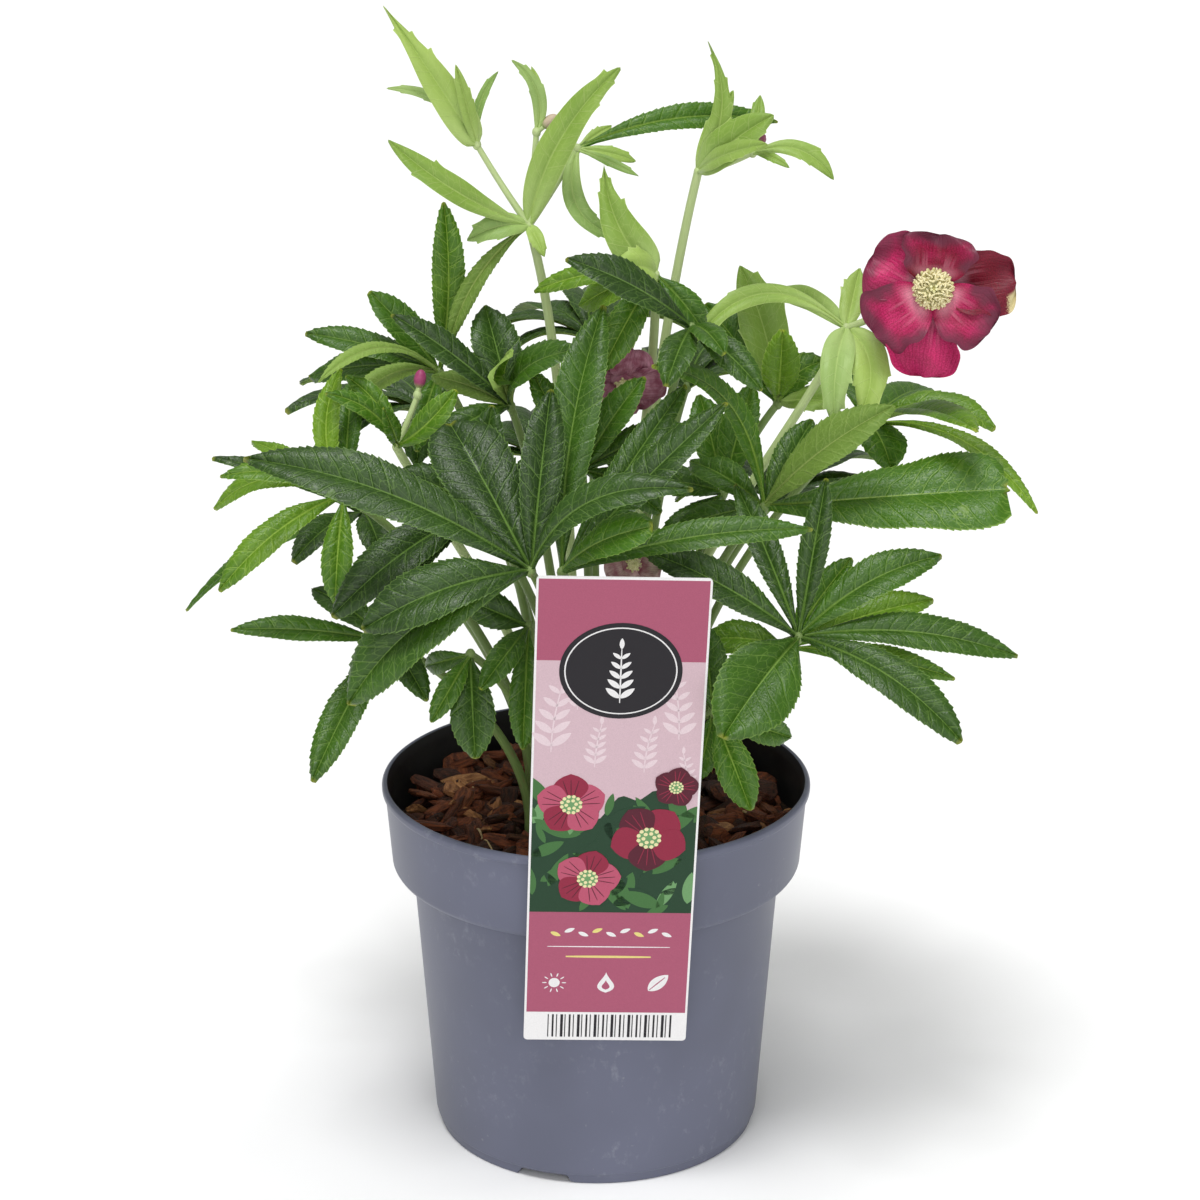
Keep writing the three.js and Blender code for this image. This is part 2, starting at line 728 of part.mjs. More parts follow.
    tufts: [{ at: [-46, -68, 222], blades: [
      [-44, -86, 188, 17, 3, 0, 0],
      [-60, -80, 200, 9, 4, 0, 0],
      [-63, -58, 214, 9, 3, 0, 0],
    ] }],
  },
  {
    name: "leaf_low_centre", foot: [-10, -36], face: viewer, kind: "leaf",
    tufts: [{ at: [-25, -56, 229], blades: [
      [-27, -72, 186, 12, 3, 0, 0],
      [-42, -78, 212, 11, 4, 0, 0],
      [-48, -52, 238, 14, 4, 0, 0],
    ] }],
  },
  {
    name: "stem_top_left", foot: [-8, 4], face: open, kind: "stem", under: [-12, 6, 320],
    tufts: [
      { at: [-25, 0, 368], blades: [
        [9, -10, 428, 14, 3, 0, -5, "bract"],
        [-76, -12, 402, 11, 3, 0, -5, "lance"],
        [-55, -6, 324, 8, 4, 0, 4],
        [-48, -10, 365, 11, 5, 0, 0, "bract"],
        [-19, -10, 358, 6, 2, 0, 0, "bract"],
      ] },
      { at: [-44, 0, 398], blades: [
        [-77, -8, 450, 14, 2, 0, 0, "sheath"],
        [-77, -12, 423, 5, 2, 0, 6, "lance"],
        [-51, -4, 427, 6, 1, 0, 0, "bract"],
        [-36, 8, 424, 4, 1, 0, -3, "lance"],
      ] },
      { at: [-22, 4, 402], blades: [
        [-31, 2, 429, 6, 1, 0, 5, "bract"],
        [-24, 8, 427, 4, 1, 0, 2, "lance"],
      ], bud: [-17, 4, 406] },
      { at: [-7, 9, 395], blades: [
        [69, 27, 402, 11, 4, 0, -5],
        [6, 18, 402, 5, 1, 0, 0, "lance"],
        [15, 10, 390, 6, 2, 0, 0, "lance"],
        [16, -4, 387, 4, 1, 0, 0, "lance"],
        [14, 5, 360, 8.5, 2, 0, 12, "bract"],
      ] },
    ],
  },
  {
    name: "stem_centre", foot: [6, -8], face: open, kind: "stem", under: [24, -2, 300],
    tufts: [
      { at: [22, -18, 353], blades: [
        [3, -12, 393, 17, 1, 0, -5, "sheath"],
        [40, -38, 338, 12, 4, 0, 0],
        [2, -38, 321, 14, 4, 0, 0],
        [6, -30, 358, 15, 4, 0, 0, "bract"],
        [-6, -6, 338, 14, 4, 0, 0],
        [-23, -6, 343, 9, 4, 0, 2],
      ] },
      { at: [9.5, -17.8, 316], blades: [] },
    ],
  },
  {
    name: "stem_top_right", foot: [12, 8], face: open, kind: "stem", under: [28, 12, 342],
    tufts: [
      { at: [38, 0, 388], blades: [
        [65, -12, 411, 16, 3, 0, 0, "bract"],
        [41, 2, 436, 9, 1, 0, 7, "sheath"],
        [51, 8, 417, 9, 1, 0, 0, "bract"],
        [62, -12, 397, 10, 3, 0, 0, "bract"],
      ] },
      { at: [58, -2.6, 395.6], blades: [
        [88, -6, 386, 8, 4, 0, -5, "lance"],
        [61, 9, 415, 6, 1, 0, 0, "lance"],
        [79, 8, 395, 5, 2, 0, 0, "lance"],
        [71, -14, 392, 4, 2, 0, 0, "lance"],
      ], bud: [61, 5, 399] },
    ],
  },
  {
    name: "stem_of_bloom", foot: [14, -2], face: open, kind: "stem", under: [72, -6, 280],
    tufts: [
      { at: [94, -6, 330], blades: [
        [35, -34, 331, 9, 5, 0, 16, "lance"],
        [62, 22, 338, 11, 6, 0, 4, "bract"],
        [88, -38, 302, 13, 8, 0, 2, "bract"],
        [98, -38, 305, 15, 6, 0, -6, "bract"],
        [100, 12, 349, 10, 2, 0, 0, "bract"],
      ] },
      { at: [124.5, -19.45, 348], blades: [] },
    ],
  },
  {
    name: "stem_low", foot: [4, -36], face: open, kind: "stem", under: [12, -40, 215],
    tufts: [{ at: [12, -46.6, 249], blades: [
      [28, -62, 262, 10, 3, 0, 0],
      [2, -52, 268, 10, 3, 0, 0],
    ] }],
  },
  {
    name: "stem_left", foot: [-18, -4], face: open, kind: "stem", under: [-58, -24, 256],
    tufts: [
      { at: [-74, -32, 291], blades: [
        [-51, -40, 315, 11, 3, 0, 3],
        [-99, -42, 314, 8, 3, 0, 4],
        [-93, -24, 316, 9, 3, 0, 3],
        [-77, -54, 312, 7, 2, 0, 0],
      ] },
      { at: [-66, -29, 310], blades: [], bud: [-65, -28, 316] },
    ],
  },
];

/** Leaves behind the plant: hands of leaflets spread evenly about the way they lean. */
const fans = [
  {
    name: "leaf_back_left", foot: [-16, 20], at: [-66, 48, 282],
    heading: 155, reach: 60, width: 20, count: 6,
  },
  { name: "leaf_back", foot: [-6, 26], at: [-22, 54, 262], heading: 98, reach: 46, width: 21, count: 7 },
  { name: "leaf_back_right", foot: [14, 20], at: [36, 52, 292], heading: 70, reach: 50, width: 20, count: 6 },
  { name: "leaf_back_low", foot: [24, 20], at: [72, 48, 246], heading: 40, reach: 60, width: 20, count: 6 },
  { name: "leaf_middle", foot: [0, 14], at: [-2, 28, 318], heading: 95, reach: 52, width: 18, count: 6 },
];

for (const { name, foot, at, heading, reach, width, count } of fans) {
  const spread = [0, 36, -36, 72, -72, 110, -110];
  const blades = spread.slice(0, count).map((turn) => {
    const angle = radians(heading + turn);
    const length = reach * (1 - 0.0022 * Math.abs(turn));
    const rise = 6 - 0.12 * Math.abs(turn);
    return [
      at[0] + length * Math.cos(angle), at[1] + length * Math.sin(angle), at[2] + rise,
      width * (1 - 0.002 * Math.abs(turn)), 8, 0, 0,
    ];
  });
  plants.push({ name, foot, face: level, kind: "leaf", tufts: [{ at, blades }] });
}

const looks = {
  leaf: { colour: "#2f5a2c", roughness: 0.45 },
  light: { colour: "#5f9a3c", roughness: 0.5 },
  stem: { colour: "#6ea548", roughness: 0.5 },
};

/** The plant's stalks: the first rises out of the soil and curves, the others start where it forks. */
function stalksOf(plant) {
  const foot = vec([...plant.foot, stemFoot]);
  const clear = vec([...plant.foot, stemClear]);
  const first = vec(plant.tufts[0].at);
  const rise = first.z - clear.z;
  const lead = clear.clone().add(new THREE.Vector3(0, 0, 0.42 * rise));
  const under = plant.under ? vec(plant.under) : clear.clone().lerp(first, 0.6).setZ(clear.z + 0.86 * rise);
  const curve = new THREE.CubicBezierCurve3(clear, lead, under, first);
  const isStem = plant.kind === "stem";
  const thick = isStem ? 2.2 : 2;
  const points = [foot, ...curve.getPoints(isStem ? 7 : 5)];
  const stalks = [{ points, radii: [thick, thick * 0.75], sides: isStem ? 5 : 4 }];
  plant.tufts.slice(1).forEach(({ at }) => {
    const end = vec(at);
    const middle = first.clone().lerp(end, 0.5).add(new THREE.Vector3(0, 0, -1.5));
    const branch = new THREE.QuadraticBezierCurve3(first, middle, end);
    stalks.push({ points: branch.getPoints(2), radii: [thick * 0.65, thick * 0.5], sides: 4 });
  });
  return stalks;
}

function budSolid(root, end) {
  const along = end.clone().sub(root).normalize();
  const bud = new THREE.SphereGeometry(1, 6, 4).rotateX(Math.PI / 2).scale(...budSize);
  bud.applyQuaternion(new THREE.Quaternion().setFromUnitVectors(new THREE.Vector3(0, 0, 1), along));
  return join([solidOf(bud.translate(end.x, end.y, end.z)), tube([root, end], [1.1, 1], 4)]);
}

const hubSolid = (at, radius) =>
  solidOf(new THREE.OctahedronGeometry(radius, 0).rotateX(0.9).rotateY(0.5).translate(...at));

// ---------------------------------------------------------------- blooms
// Each sepal: its angle round the bloom, length, width, and 1 in the front layer or -1 behind.
const openSepals = [
  [85, 20, 27, 1], [-37, 26, 24, 1], [-142, 27, 26, 1],
  [151, 25.5, 27, -1], [7, 30, 25, -1], [-96, 32.3, 26, -1],
];

function evenSepals(count, length, start) {
  return Array.from({ length: count }, (_, i) => [
    start + (360 / count) * i, length, 1.02 * length, i % 2 === 0 ? 1 : -1,
  ]);
}

const blooms = [
  {
    name: "bloom_front", centre: [124, -24, 349], facing: [-0.11, -0.97, 0.21], scale: 1,
    sepals: openSepals,
  },
  {
    name: "bloom_hidden", centre: [10, -22, 314], facing: [0.1, -0.75, -0.3], scale: 0.54,
    sepals: evenSepals(5, 16, 80),
  },
  {
    name: "bloom_faded", centre: [13, -52, 251.5], facing: [0.2, -0.8, 0.3], scale: 0.4,
    sepals: evenSepals(5, 11, 60),
  },
];

function bloomAxes({ facing }) {
  const normal = vec(facing).normalize();
  const across = new THREE.Vector3().crossVectors(new THREE.Vector3(0, 0, 1), normal).normalize();
  const up = new THREE.Vector3().crossVectors(normal, across);
  return { normal, across, up };
}

function sepalBlades(bloom) {
  const { normal, across, up } = bloomAxes(bloom);
  const centre = vec(bloom.centre);
  return bloom.sepals.map(([turn, length, width, side], index) => {
    const angle = radians(turn);
    const out = across.clone().multiplyScalar(Math.cos(angle)).addScaledVector(up, Math.sin(angle));
    const layer = 1.7 * side;
    return makeBlade({
      root: centre.clone().addScaledVector(out, sepalRoot).addScaledVector(normal, layer * 0.3),
      tip: centre.clone().addScaledVector(out, length).addScaledVector(normal, layer + 2 * bloom.scale),
      width, arch: 2 * bloom.scale, roll: 0, face: normal, form: forms.sepal, phase: index,
    });
  });
}

function bloomSolid(bloom, thickness) {
  const { normal } = bloomAxes(bloom);
  const turn = new THREE.Quaternion().setFromUnitVectors(new THREE.Vector3(0, 0, 1), normal);
  const cup = new THREE.IcosahedronGeometry(1, 0).scale(5, 5, 2.6).applyQuaternion(turn);
  cup.translate(...bloom.centre);
  return join([solidOf(cup), ...sepalBlades(bloom).map((blade) => bladeSolid(blade, thickness))]);
}

/** A dome of slim stamens round a tuft of pistils, standing just off the sepals. */
function stamenSolid(bloom, thickness) {
  const { normal, across, up } = bloomAxes(bloom);
  const size = bloom.scale;
  const base = vec(bloom.centre).addScaledVector(normal, 2.7 + 3.2 * size);
  const parts = [solidOf(new THREE.IcosahedronGeometry(3.4 * size, 0).translate(base.x, base.y, base.z))];
  const rings = size > 0.8 ? [[1, 0], [5, 30], [9, 64]] : [[1, 0], [4, 50]];
  rings.forEach(([count, tilt], ring) => {
    for (let i = 0; i < count; i += 1) {
      const angle = (2 * Math.PI * (i + 0.5 * (ring % 2))) / count;
      const lean = radians(tilt);
      const out = normal.clone().multiplyScalar(Math.cos(lean))
        .addScaledVector(across, Math.sin(lean) * Math.cos(angle))
        .addScaledVector(up, Math.sin(lean) * Math.sin(angle));
      const slim = 0.85 * thickness * size;
      const rod = new THREE.OctahedronGeometry(1, 0).scale(slim, slim, 4.2 * size);
      rod.applyQuaternion(new THREE.Quaternion().setFromUnitVectors(new THREE.Vector3(0, 0, 1), out));
      const at = base.clone().addScaledVector(out, 3.8 * size);
      parts.push(solidOf(rod.translate(at.x, at.y, at.z)));
    }
  });
  return join(parts);
}

// ---------------------------------------------------------------- growing it all
const plant = new THREE.Group();

plant.add(meshOf("pot", buildPot(), "#6b6e7c", 0.45));
plant.add(meshOf("bark_mix", buildMix(plants.map(({ foot }) => foot)), "#6b3a24", 0.9));
plant.add(meshOf("label", buildLabel(), "#b4637f", 0.4));

for (let row = 0; row <= 50; row += 1) {
  for (let column = 0; column <= 16; column += 1) {
    const [x, z] = [labelSize.width * (column / 16 - 0.5), labelSize.height * (row / 50 - 0.5)];
    take(new THREE.Vector3(x, 0, z).applyMatrix4(labelMatrix), "label");
  }
}

for (const bloom of blooms) {
  const sepals = joinCleanly((thickness) => bloomSolid(bloom, thickness));
  const stamens = joinCleanly((thickness) => stamenSolid(bloom, thickness));
  plant.add(meshOf(`${bloom.name}_sepals`, sepals, "#8c1f45", 0.55));
  plant.add(meshOf(`${bloom.name}_stamens`, stamens, "#d9cf8a", 0.6));
  sepalBlades(bloom).forEach((blade) => bladeSamples(blade).forEach((point) => take(point, bloom.name)));
}

const stalks = new Map(plants.map((one) => [one.name, stalksOf(one)]));
for (const [name, list] of stalks) {
  for (const { points } of list) {
    const path = new THREE.CurvePath();
    points.slice(1).forEach((point, i) => path.add(new THREE.LineCurve3(points[i], point)));
    path.getSpacedPoints(Math.ceil(path.getLength() / sampleStep)).forEach((point) => take(point, name, 1.6));
  }
}

for (const one of plants) {
  const parts = stalks.get(one.name).map(({ points, radii, sides }) => tube(points, radii, sides));
  const grown = [];
  one.tufts.forEach(({ at, blades, bud }, tuft) => {
    parts.push(hubSolid(at, blades.length > 0 ? hubRadius : endRadius));
    blades.forEach(([x, y, z, width, arch, roll, bend, form = "leaflet"], index) => {
      const spec = {
        root: vec(at), tip: new THREE.Vector3(x, y, z), width: width * slenderness, arch, roll, bend,
        face: vec(one.face), form: forms[form], phase: 2.1 * index + tuft,
      };
      const blade = fitBlade(spec, one.name);
      if (blade) {
        grown.push(blade);
      }
    });
    if (bud) {
      parts.push(budSolid(vec(at), vec(bud)));
    }
  });
  const { colour, roughness } = looks[one.kind];
  const whole = (thickness) => join([...parts, ...grown.map((blade) => bladeSolid(blade, thickness))]);
  const solid = joinCleanly(whole);
  plant.add(meshOf(one.name, solid, colour, roughness));
}

export default plant;
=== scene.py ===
"""Looks of a hellebore in a 17 cm nursery pot. Lengths are millimetres until a mesh is made."""
import math
from itertools import product
from types import SimpleNamespace

import bpy
import numpy as np
from mathutils import Matrix, Vector
from mathutils.geometry import tessellate_polygon


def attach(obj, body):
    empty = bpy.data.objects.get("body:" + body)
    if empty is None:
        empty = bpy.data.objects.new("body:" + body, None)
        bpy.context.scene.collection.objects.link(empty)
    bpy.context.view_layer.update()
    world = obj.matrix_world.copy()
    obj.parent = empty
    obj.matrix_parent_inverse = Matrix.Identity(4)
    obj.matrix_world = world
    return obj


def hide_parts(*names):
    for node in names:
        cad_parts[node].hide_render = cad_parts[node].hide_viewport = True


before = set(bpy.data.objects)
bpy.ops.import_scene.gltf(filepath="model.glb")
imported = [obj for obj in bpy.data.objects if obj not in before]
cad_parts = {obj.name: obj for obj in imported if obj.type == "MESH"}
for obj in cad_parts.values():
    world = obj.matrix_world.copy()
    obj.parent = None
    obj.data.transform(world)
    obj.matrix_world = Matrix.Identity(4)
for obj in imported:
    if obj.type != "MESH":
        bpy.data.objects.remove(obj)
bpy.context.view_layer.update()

MM = 0.001
BODY = "root"


# ---------------------------------------------------------------- small helpers
def unit(vector):
    vector = np.asarray(vector, float)
    return vector / np.linalg.norm(vector, axis=-1, keepdims=True)


def perpendicular(direction, along):
    return unit(direction - np.sum(direction * along, -1, keepdims=True) * along)


def smooth(value, low, high):
    """0 below low, 1 above high and a soft step between."""
    share = np.clip((value - low) / (high - low), 0, 1)
    return share * share * (3 - 2 * share)


def circle_points(count, radius=1.0, start=0.0):
    angles = start + 2 * np.pi * np.arange(count) / count
    return radius * np.stack([np.cos(angles), np.sin(angles)], -1)


def turned_axes(normal):
    """Two directions at right angles to a normal: across, level with the floor, and up."""
    normal = unit(normal)
    across = unit(np.cross((0, 0, 1), normal)) if abs(normal[2]) < 0.999 else np.array((1.0, 0, 0))
    return across, np.cross(normal, across)


class Piece:
    """Corners, faces and point data of one piece, gathered part by part."""

    def __init__(self, name):
        self.name = name
        self.corners, self.faces, self.slots = [], [], []
        self.place, self.span = [], []
        self.looks = []
        self.count = 0

    def add(self, corners, faces, look, place=(0, 0, 0), span=(0, 0, 0)):
        """Adds a part. place and span are shaders' numbers for each corner, or one for them all."""
        corners = np.asarray(corners, float)
        if look not in self.looks:
            self.looks.append(look)
        self.corners.append(corners)
        self.place.append(np.broadcast_to(np.asarray(place, float), corners.shape))
        self.span.append(np.broadcast_to(np.asarray(span, float), corners.shape))
        self.faces.extend(tuple(self.count + i for i in face) for face in faces)
        self.slots.extend([self.looks.index(look)] * len(faces))
        self.count += len(corners)

    def build(self, slot, replaces=(), sharp=50):
        mesh = bpy.data.meshes.new(self.name)
        mesh.from_pydata((np.concatenate(self.corners) * MM).tolist(), [], self.faces)
        for look in self.looks:
            mesh.materials.append(look)
        mesh.polygons.foreach_set("material_index", self.slots)
        mesh.polygons.foreach_set("use_smooth", [True] * len(self.faces))
        mesh.set_sharp_from_angle(angle=math.radians(sharp))
        for name, rows in (("place", self.place), ("span", self.span)):
            attribute = mesh.attributes.new(name, "FLOAT_VECTOR", "POINT")
            attribute.data.foreach_set("vector", np.concatenate(rows).ravel())
        mesh.update()
        piece = bpy.data.objects.new(self.name, mesh)
        bpy.context.scene.collection.objects.link(piece)
        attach(piece, BODY)
        if replaces:
            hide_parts(*replaces)
        return piece


def grid_faces(rows, columns, closed=False):
    """Four-cornered faces of a grid of corners, kept row by row."""
    faces = []
    for i in range(rows - 1):
        for j in range(columns if closed else columns - 1):
            a, b = i * columns + j, i * columns + (j + 1) % columns
            faces.append((a, b, b + columns, a + columns))
    return faces


def bezier(points, t):
    """Points at t of a Bezier curve with three or four control points."""
    t = np.asarray(t)[:, None]
    degree = len(points) - 1
    return sum(
        math.comb(degree, k) * (1 - t) ** (degree - k) * t ** k * np.asarray(point, float)
        for k, point in enumerate(points)
    )


# The first corner of a tube's first ring lies this way, made square to the tube.
FIRST_ACROSS = np.array((1.0, 0.13, 0.07))


def add_tube(piece, points, radii, look, sides=9, age=0.5, seed=0.0):
    """A round stalk along points, closed at both ends."""
    points = np.asarray(points, float)
    last = len(points) - 1
    radii = np.interp(np.linspace(0, 1, last + 1), np.linspace(0, 1, len(radii)), radii)
    along = unit(np.gradient(points, axis=0))
    lengths = np.concatenate([[0], np.cumsum(np.linalg.norm(np.diff(points, axis=0), axis=1))])
    across, turn = FIRST_ACROSS, np.arange(sides) / sides
    rows, place, span = [], [], []
    for i, centre in enumerate(points):
        across = perpendicular(across, along[i])
        ring = circle_points(sides, radii[i])
        rows.append(centre + ring[:, :1] * across + ring[:, 1:] * np.cross(along[i], across))
        place.append(np.stack([turn, np.full(sides, i / last), np.full(sides, age)], -1))
        span.append(np.stack([ring[:, 0], ring[:, 1] + seed, np.full(sides, lengths[i])], -1))
    faces = grid_faces(last + 1, sides, closed=True)
    faces.append(tuple(reversed(range(sides))))
    faces.append(tuple(last * sides + k for k in range(sides)))
    piece.add(np.concatenate(rows), faces, look, np.concatenate(place), np.concatenate(span))


def add_ball(piece, centre, axis, size, look, rings=7, sides=12, age=0.5, groove=0.0):
    """A ball stretched along an axis. groove is the depth of ten grooves, as a share of its radius."""
    across, up = turned_axes(axis)
    axis = unit(axis)
    tilt = np.linspace(0, np.pi, rings + 2)[1:-1]
    turn = 2 * np.pi * np.arange(sides) / sides
    wide = np.sin(tilt)[:, None] * (1 - groove * np.cos(5 * turn)[None, :] ** 2)
    tall = np.repeat(np.cos(tilt)[:, None], sides, 1)
    x, y = wide * np.cos(turn) * size[0], wide * np.sin(turn) * size[1]
    local = np.stack([x, y, tall * size[2]], -1).reshape(-1, 3)
    corners = local[:, :1] * across + local[:, 1:2] * up + local[:, 2:] * axis
    poles = np.array([axis * size[2], -axis * size[2]])
    corners = np.concatenate([corners, poles]) + centre
    faces = [tuple(reversed(face)) for face in grid_faces(rings, sides, closed=True)]
    top, bottom, last = rings * sides, rings * sides + 1, (rings - 1) * sides
    for k in range(sides):
        after = (k + 1) % sides
        faces.append((top, k, after))
        faces.append((bottom, last + after, last + k))
    height = np.concatenate([tall.ravel(), [1, -1]])
    place = np.stack([height * 0, 0.5 + 0.5 * height, np.full(len(height), age)], -1)
    piece.add(corners, faces, look, place, corners)


# ---------------------------------------------------------------- materials
class Value:
    """A number from a material's nodes. Arithmetic with it adds nodes."""

    def __init__(self, look, socket):
        self.look, self.socket = look, socket

    def __add__(self, other):
        return self.look.math("ADD", self, other)

    def __sub__(self, other):
        return self.look.math("SUBTRACT", self, other)

    def __rsub__(self, other):
        return self.look.math("SUBTRACT", other, self)

    def __mul__(self, other):
        return self.look.math("MULTIPLY", self, other)

    def __truediv__(self, other):
        return self.look.math("DIVIDE", self, other)

    def __abs__(self):
        return self.look.math("ABSOLUTE", self)

    def step(self, low, high, to_low=0.0, to_high=1.0):
        """A soft step from to_low, where the value is low, to to_high, where it is high."""
        inputs = {"Value": self, "From Min": low, "From Max": high, "To Min": to_low, "To Max": to_high}
        return self.look.node("MapRange", inputs, interpolation_type="SMOOTHSTEP")

    def fall(self, low, high):
        """1 below low, 0 above high and a soft step between."""
        return 1.0 - self.step(low, high)

    def spread(self, to_low=0.0, to_high=1.0):
        """A noise, which keeps near 0.5, spread over a whole range."""
        return self.step(0.3, 0.7, to_low, to_high)

    def swing(self, width):
        """A noise moved so that it swings about 0, by width in all."""
        return self.look.math("MULTIPLY_ADD", self, width, -width / 2)


def most(a, b):
    return a.look.math("MAXIMUM", a, b)


class Look:
    """Builds one material's nodes."""

    def __init__(self, name, **settings):
        self.material = bpy.data.materials.new(name)
        self.material.use_nodes = True
        self.tree = self.material.node_tree
        self.shader = self.tree.nodes["Principled BSDF"]
        for socket, value in settings.items():
            self.shader.inputs[socket.replace("_", " ")].default_value = value

    def feed(self, socket, value):
        if isinstance(value, Value):
            self.tree.links.new(value.socket, socket)
        elif isinstance(value, tuple) and len(value) == 3 and socket.type == "RGBA":
            socket.default_value = (*value, 1)
        else:
            socket.default_value = value

    def node(self, kind, inputs, output=0, **options):
        made = self.tree.nodes.new("ShaderNode" + kind)
        for option, value in options.items():
            setattr(made, option, value)
        for socket, value in inputs.items():
            self.feed(made.inputs[socket], value)
        return Value(self, made.outputs[output])

    def attributes(self):
        """The two vectors that a piece's corners carry for their shaders: span and place."""
        return [self.node("Attribute", {}, "Vector", attribute_name=name) for name in ("span", "place")]

    def here(self):
        return self.node("TexCoord", {}, "Object")

    def split(self, vector):
        x = self.node("SeparateXYZ", {0: vector})
        return [Value(self, socket) for socket in x.socket.node.outputs]

    def joined(self, x, y, z):
        return self.node("CombineXYZ", {0: x, 1: y, 2: z})

    def math(self, operation, a, b=0.0, c=0.0):
        return self.node("Math", {0: a, 1: b, 2: c}, operation=operation)

    def noise(self, vector, scale, detail=2.0, roughness=0.5):
        inputs = {"Vector": vector, "Scale": scale, "Detail": detail, "Roughness": roughness}
        return self.node("TexNoise", inputs)

    def cells(self, vector, scale, feature="DISTANCE_TO_EDGE"):
        return self.node("TexVoronoi", {"Vector": vector, "Scale": scale}, "Distance", feature=feature)

    def mix(self, share, a, b):
        return self.node("Mix", {0: share, 6: a, 7: b}, output=2, data_type="RGBA")

    def scaled(self, vector, by):
        return self.node("VectorMath", {0: vector, 1: by}, operation="MULTIPLY")

    def finish(self, colour, roughness=None, height=None, depth=0.0):
        """Feeds the shader, with a bump as deep as depth millimetres where a height is given."""
        self.feed(self.shader.inputs["Base Color"], colour)
        if roughness is not None:
            self.feed(self.shader.inputs["Roughness"], roughness)
        if height is not None:
            bump = self.node("Bump", {"Height": height, "Distance": depth * MM, "Strength": 1.0})
            self.feed(self.shader.inputs["Normal"], bump)
        return self.material


VEIN_PITCH = 6.5
VEIN_SLANT = 0.8


def leaf_veins(look, span, place):
    """A leaflet's veins as lines (midrib, side veins, net) and the swelling of the net's cells."""
    u, v, _ = look.split(span)
    _, t, _ = look.split(place)
    off = abs(u)
    midrib = (off / t.step(0.0, 1.0, 0.62, 0.16)).fall(0.35, 1.1)
    start = v - off * VEIN_SLANT + look.noise(span, 0.09, 1.0).swing(4.4)
    stagger = look.math("GREATER_THAN", u, 0.0) * 0.5
    away = look.math("PINGPONG", start / VEIN_PITCH + stagger, 0.5) * VEIN_PITCH
    side = away.fall(0.05, 0.26)
    net_edge = look.cells(look.joined(off, start * 0.9, 0.0), 0.36)
    fine_edge = look.cells(span, 0.8)
    net = net_edge.fall(0.008, 0.050)
    swell = net_edge.step(0.0, 0.45, 0.0, 0.5) + fine_edge.step(0.0, 0.5, 0.0, 0.7) - away.fall(0.1, 0.9)
    return midrib, side, net, swell


def tinted(look, age, mature, middle, young):
    """A leaf's colour by its age, which goes from 0 to 1."""
    base = look.mix(age.step(0.02, 0.5), mature, middle)
    return look.mix(age.step(0.5, 0.95), base, young)


def leaf_upper():
    look = Look("leaf_upper", Specular_IOR_Level=0.38)
    span, place = look.attributes()
    midrib, side, net, swell = leaf_veins(look, span, place)
    s, t, age = look.split(place)
    grain = look.noise(span, 0.9, 3.0)
    base = tinted(
        look, age + look.noise(span, 0.045, 4.0).swing(0.36),
        mature=look.mix(grain, (0.011, 0.035, 0.003), (0.022, 0.057, 0.005)),
        middle=look.mix(grain, (0.036, 0.116, 0.002), (0.060, 0.160, 0.004)),
        young=look.mix(grain, (0.125, 0.250, 0.008), (0.180, 0.330, 0.014)),
    )
    pale = look.mix(age.step(0.05, 0.9), (0.140, 0.250, 0.050), (0.340, 0.500, 0.080))
    strength = look.noise(span, 0.07, 2.0).step(0.35, 0.65, 0.5, 1.0)
    colour = look.mix(most(most(side * 0.58, net * 0.42) * strength, midrib * 0.9), base, pale)
    colour = look.mix(abs(s).step(0.96, 1.0, 0.0, 0.7), colour, pale)
    narrow = abs(look.split(span)[0]).step(3.0, 1.0)
    colour = look.mix(t.step(0.97, 1.0, 0.0, 0.6) * narrow, colour, (0.340, 0.360, 0.030))
    return look.finish(colour, grain.spread(0.36, 0.46), swell + grain * 0.3, 0.14)


def leaf_under():
    look = Look("leaf_under", Specular_IOR_Level=0.25)
    span, place = look.attributes()
    midrib, side, net, swell = leaf_veins(look, span, place)
    _, _, age = look.split(place)
    grain = look.noise(span, 1.1, 3.0)
    old = look.mix(grain, (0.105, 0.190, 0.026), (0.160, 0.260, 0.042))
    young = look.mix(grain, (0.240, 0.380, 0.070), (0.330, 0.480, 0.115))
    base = look.mix(age.step(0.1, 0.9), old, young)
    lines = most(most(side * 0.35, net * 0.25), midrib * 0.8)
    colour = look.mix(lines, base, (0.340, 0.440, 0.130))
    return look.finish(colour, grain.spread(0.46, 0.6), swell * -1.0, 0.12)


def bract_look(name, mature, young, veins, gloss):
    """A bract's thin, nearly smooth skin, with a pale midrib and faint long veins."""
    look = Look(name, Specular_IOR_Level=gloss)
    span, place = look.attributes()
    midrib, side, net, _ = leaf_veins(look, span, place)
    s, t, age = look.split(place)
    cloud = look.noise(look.scaled(span, (1.0, 0.4, 1.0)), 0.14, 4.0)
    fibres = look.noise(look.scaled(span, (1.0, 0.06, 1.0)), 1.7, 3.0)
    base = look.mix((age + cloud.swing(0.6)).step(0.0, 1.0), mature, young)
    base = look.mix(t.step(0.45, 0.0, 0.0, 0.7), base, (0.430, 0.570, 0.200))
    lines = most(most(side * 0.3, net * 0.16), midrib * 0.5)
    colour = look.mix(most(lines, fibres.step(0.6, 0.8, 0.0, 0.18)), base, veins)
    colour = look.mix(abs(s).step(0.95, 1.0, 0.0, 0.5), colour, veins)
    return look.finish(colour, cloud.spread(0.36, 0.5), fibres + side * 0.5, 0.16)


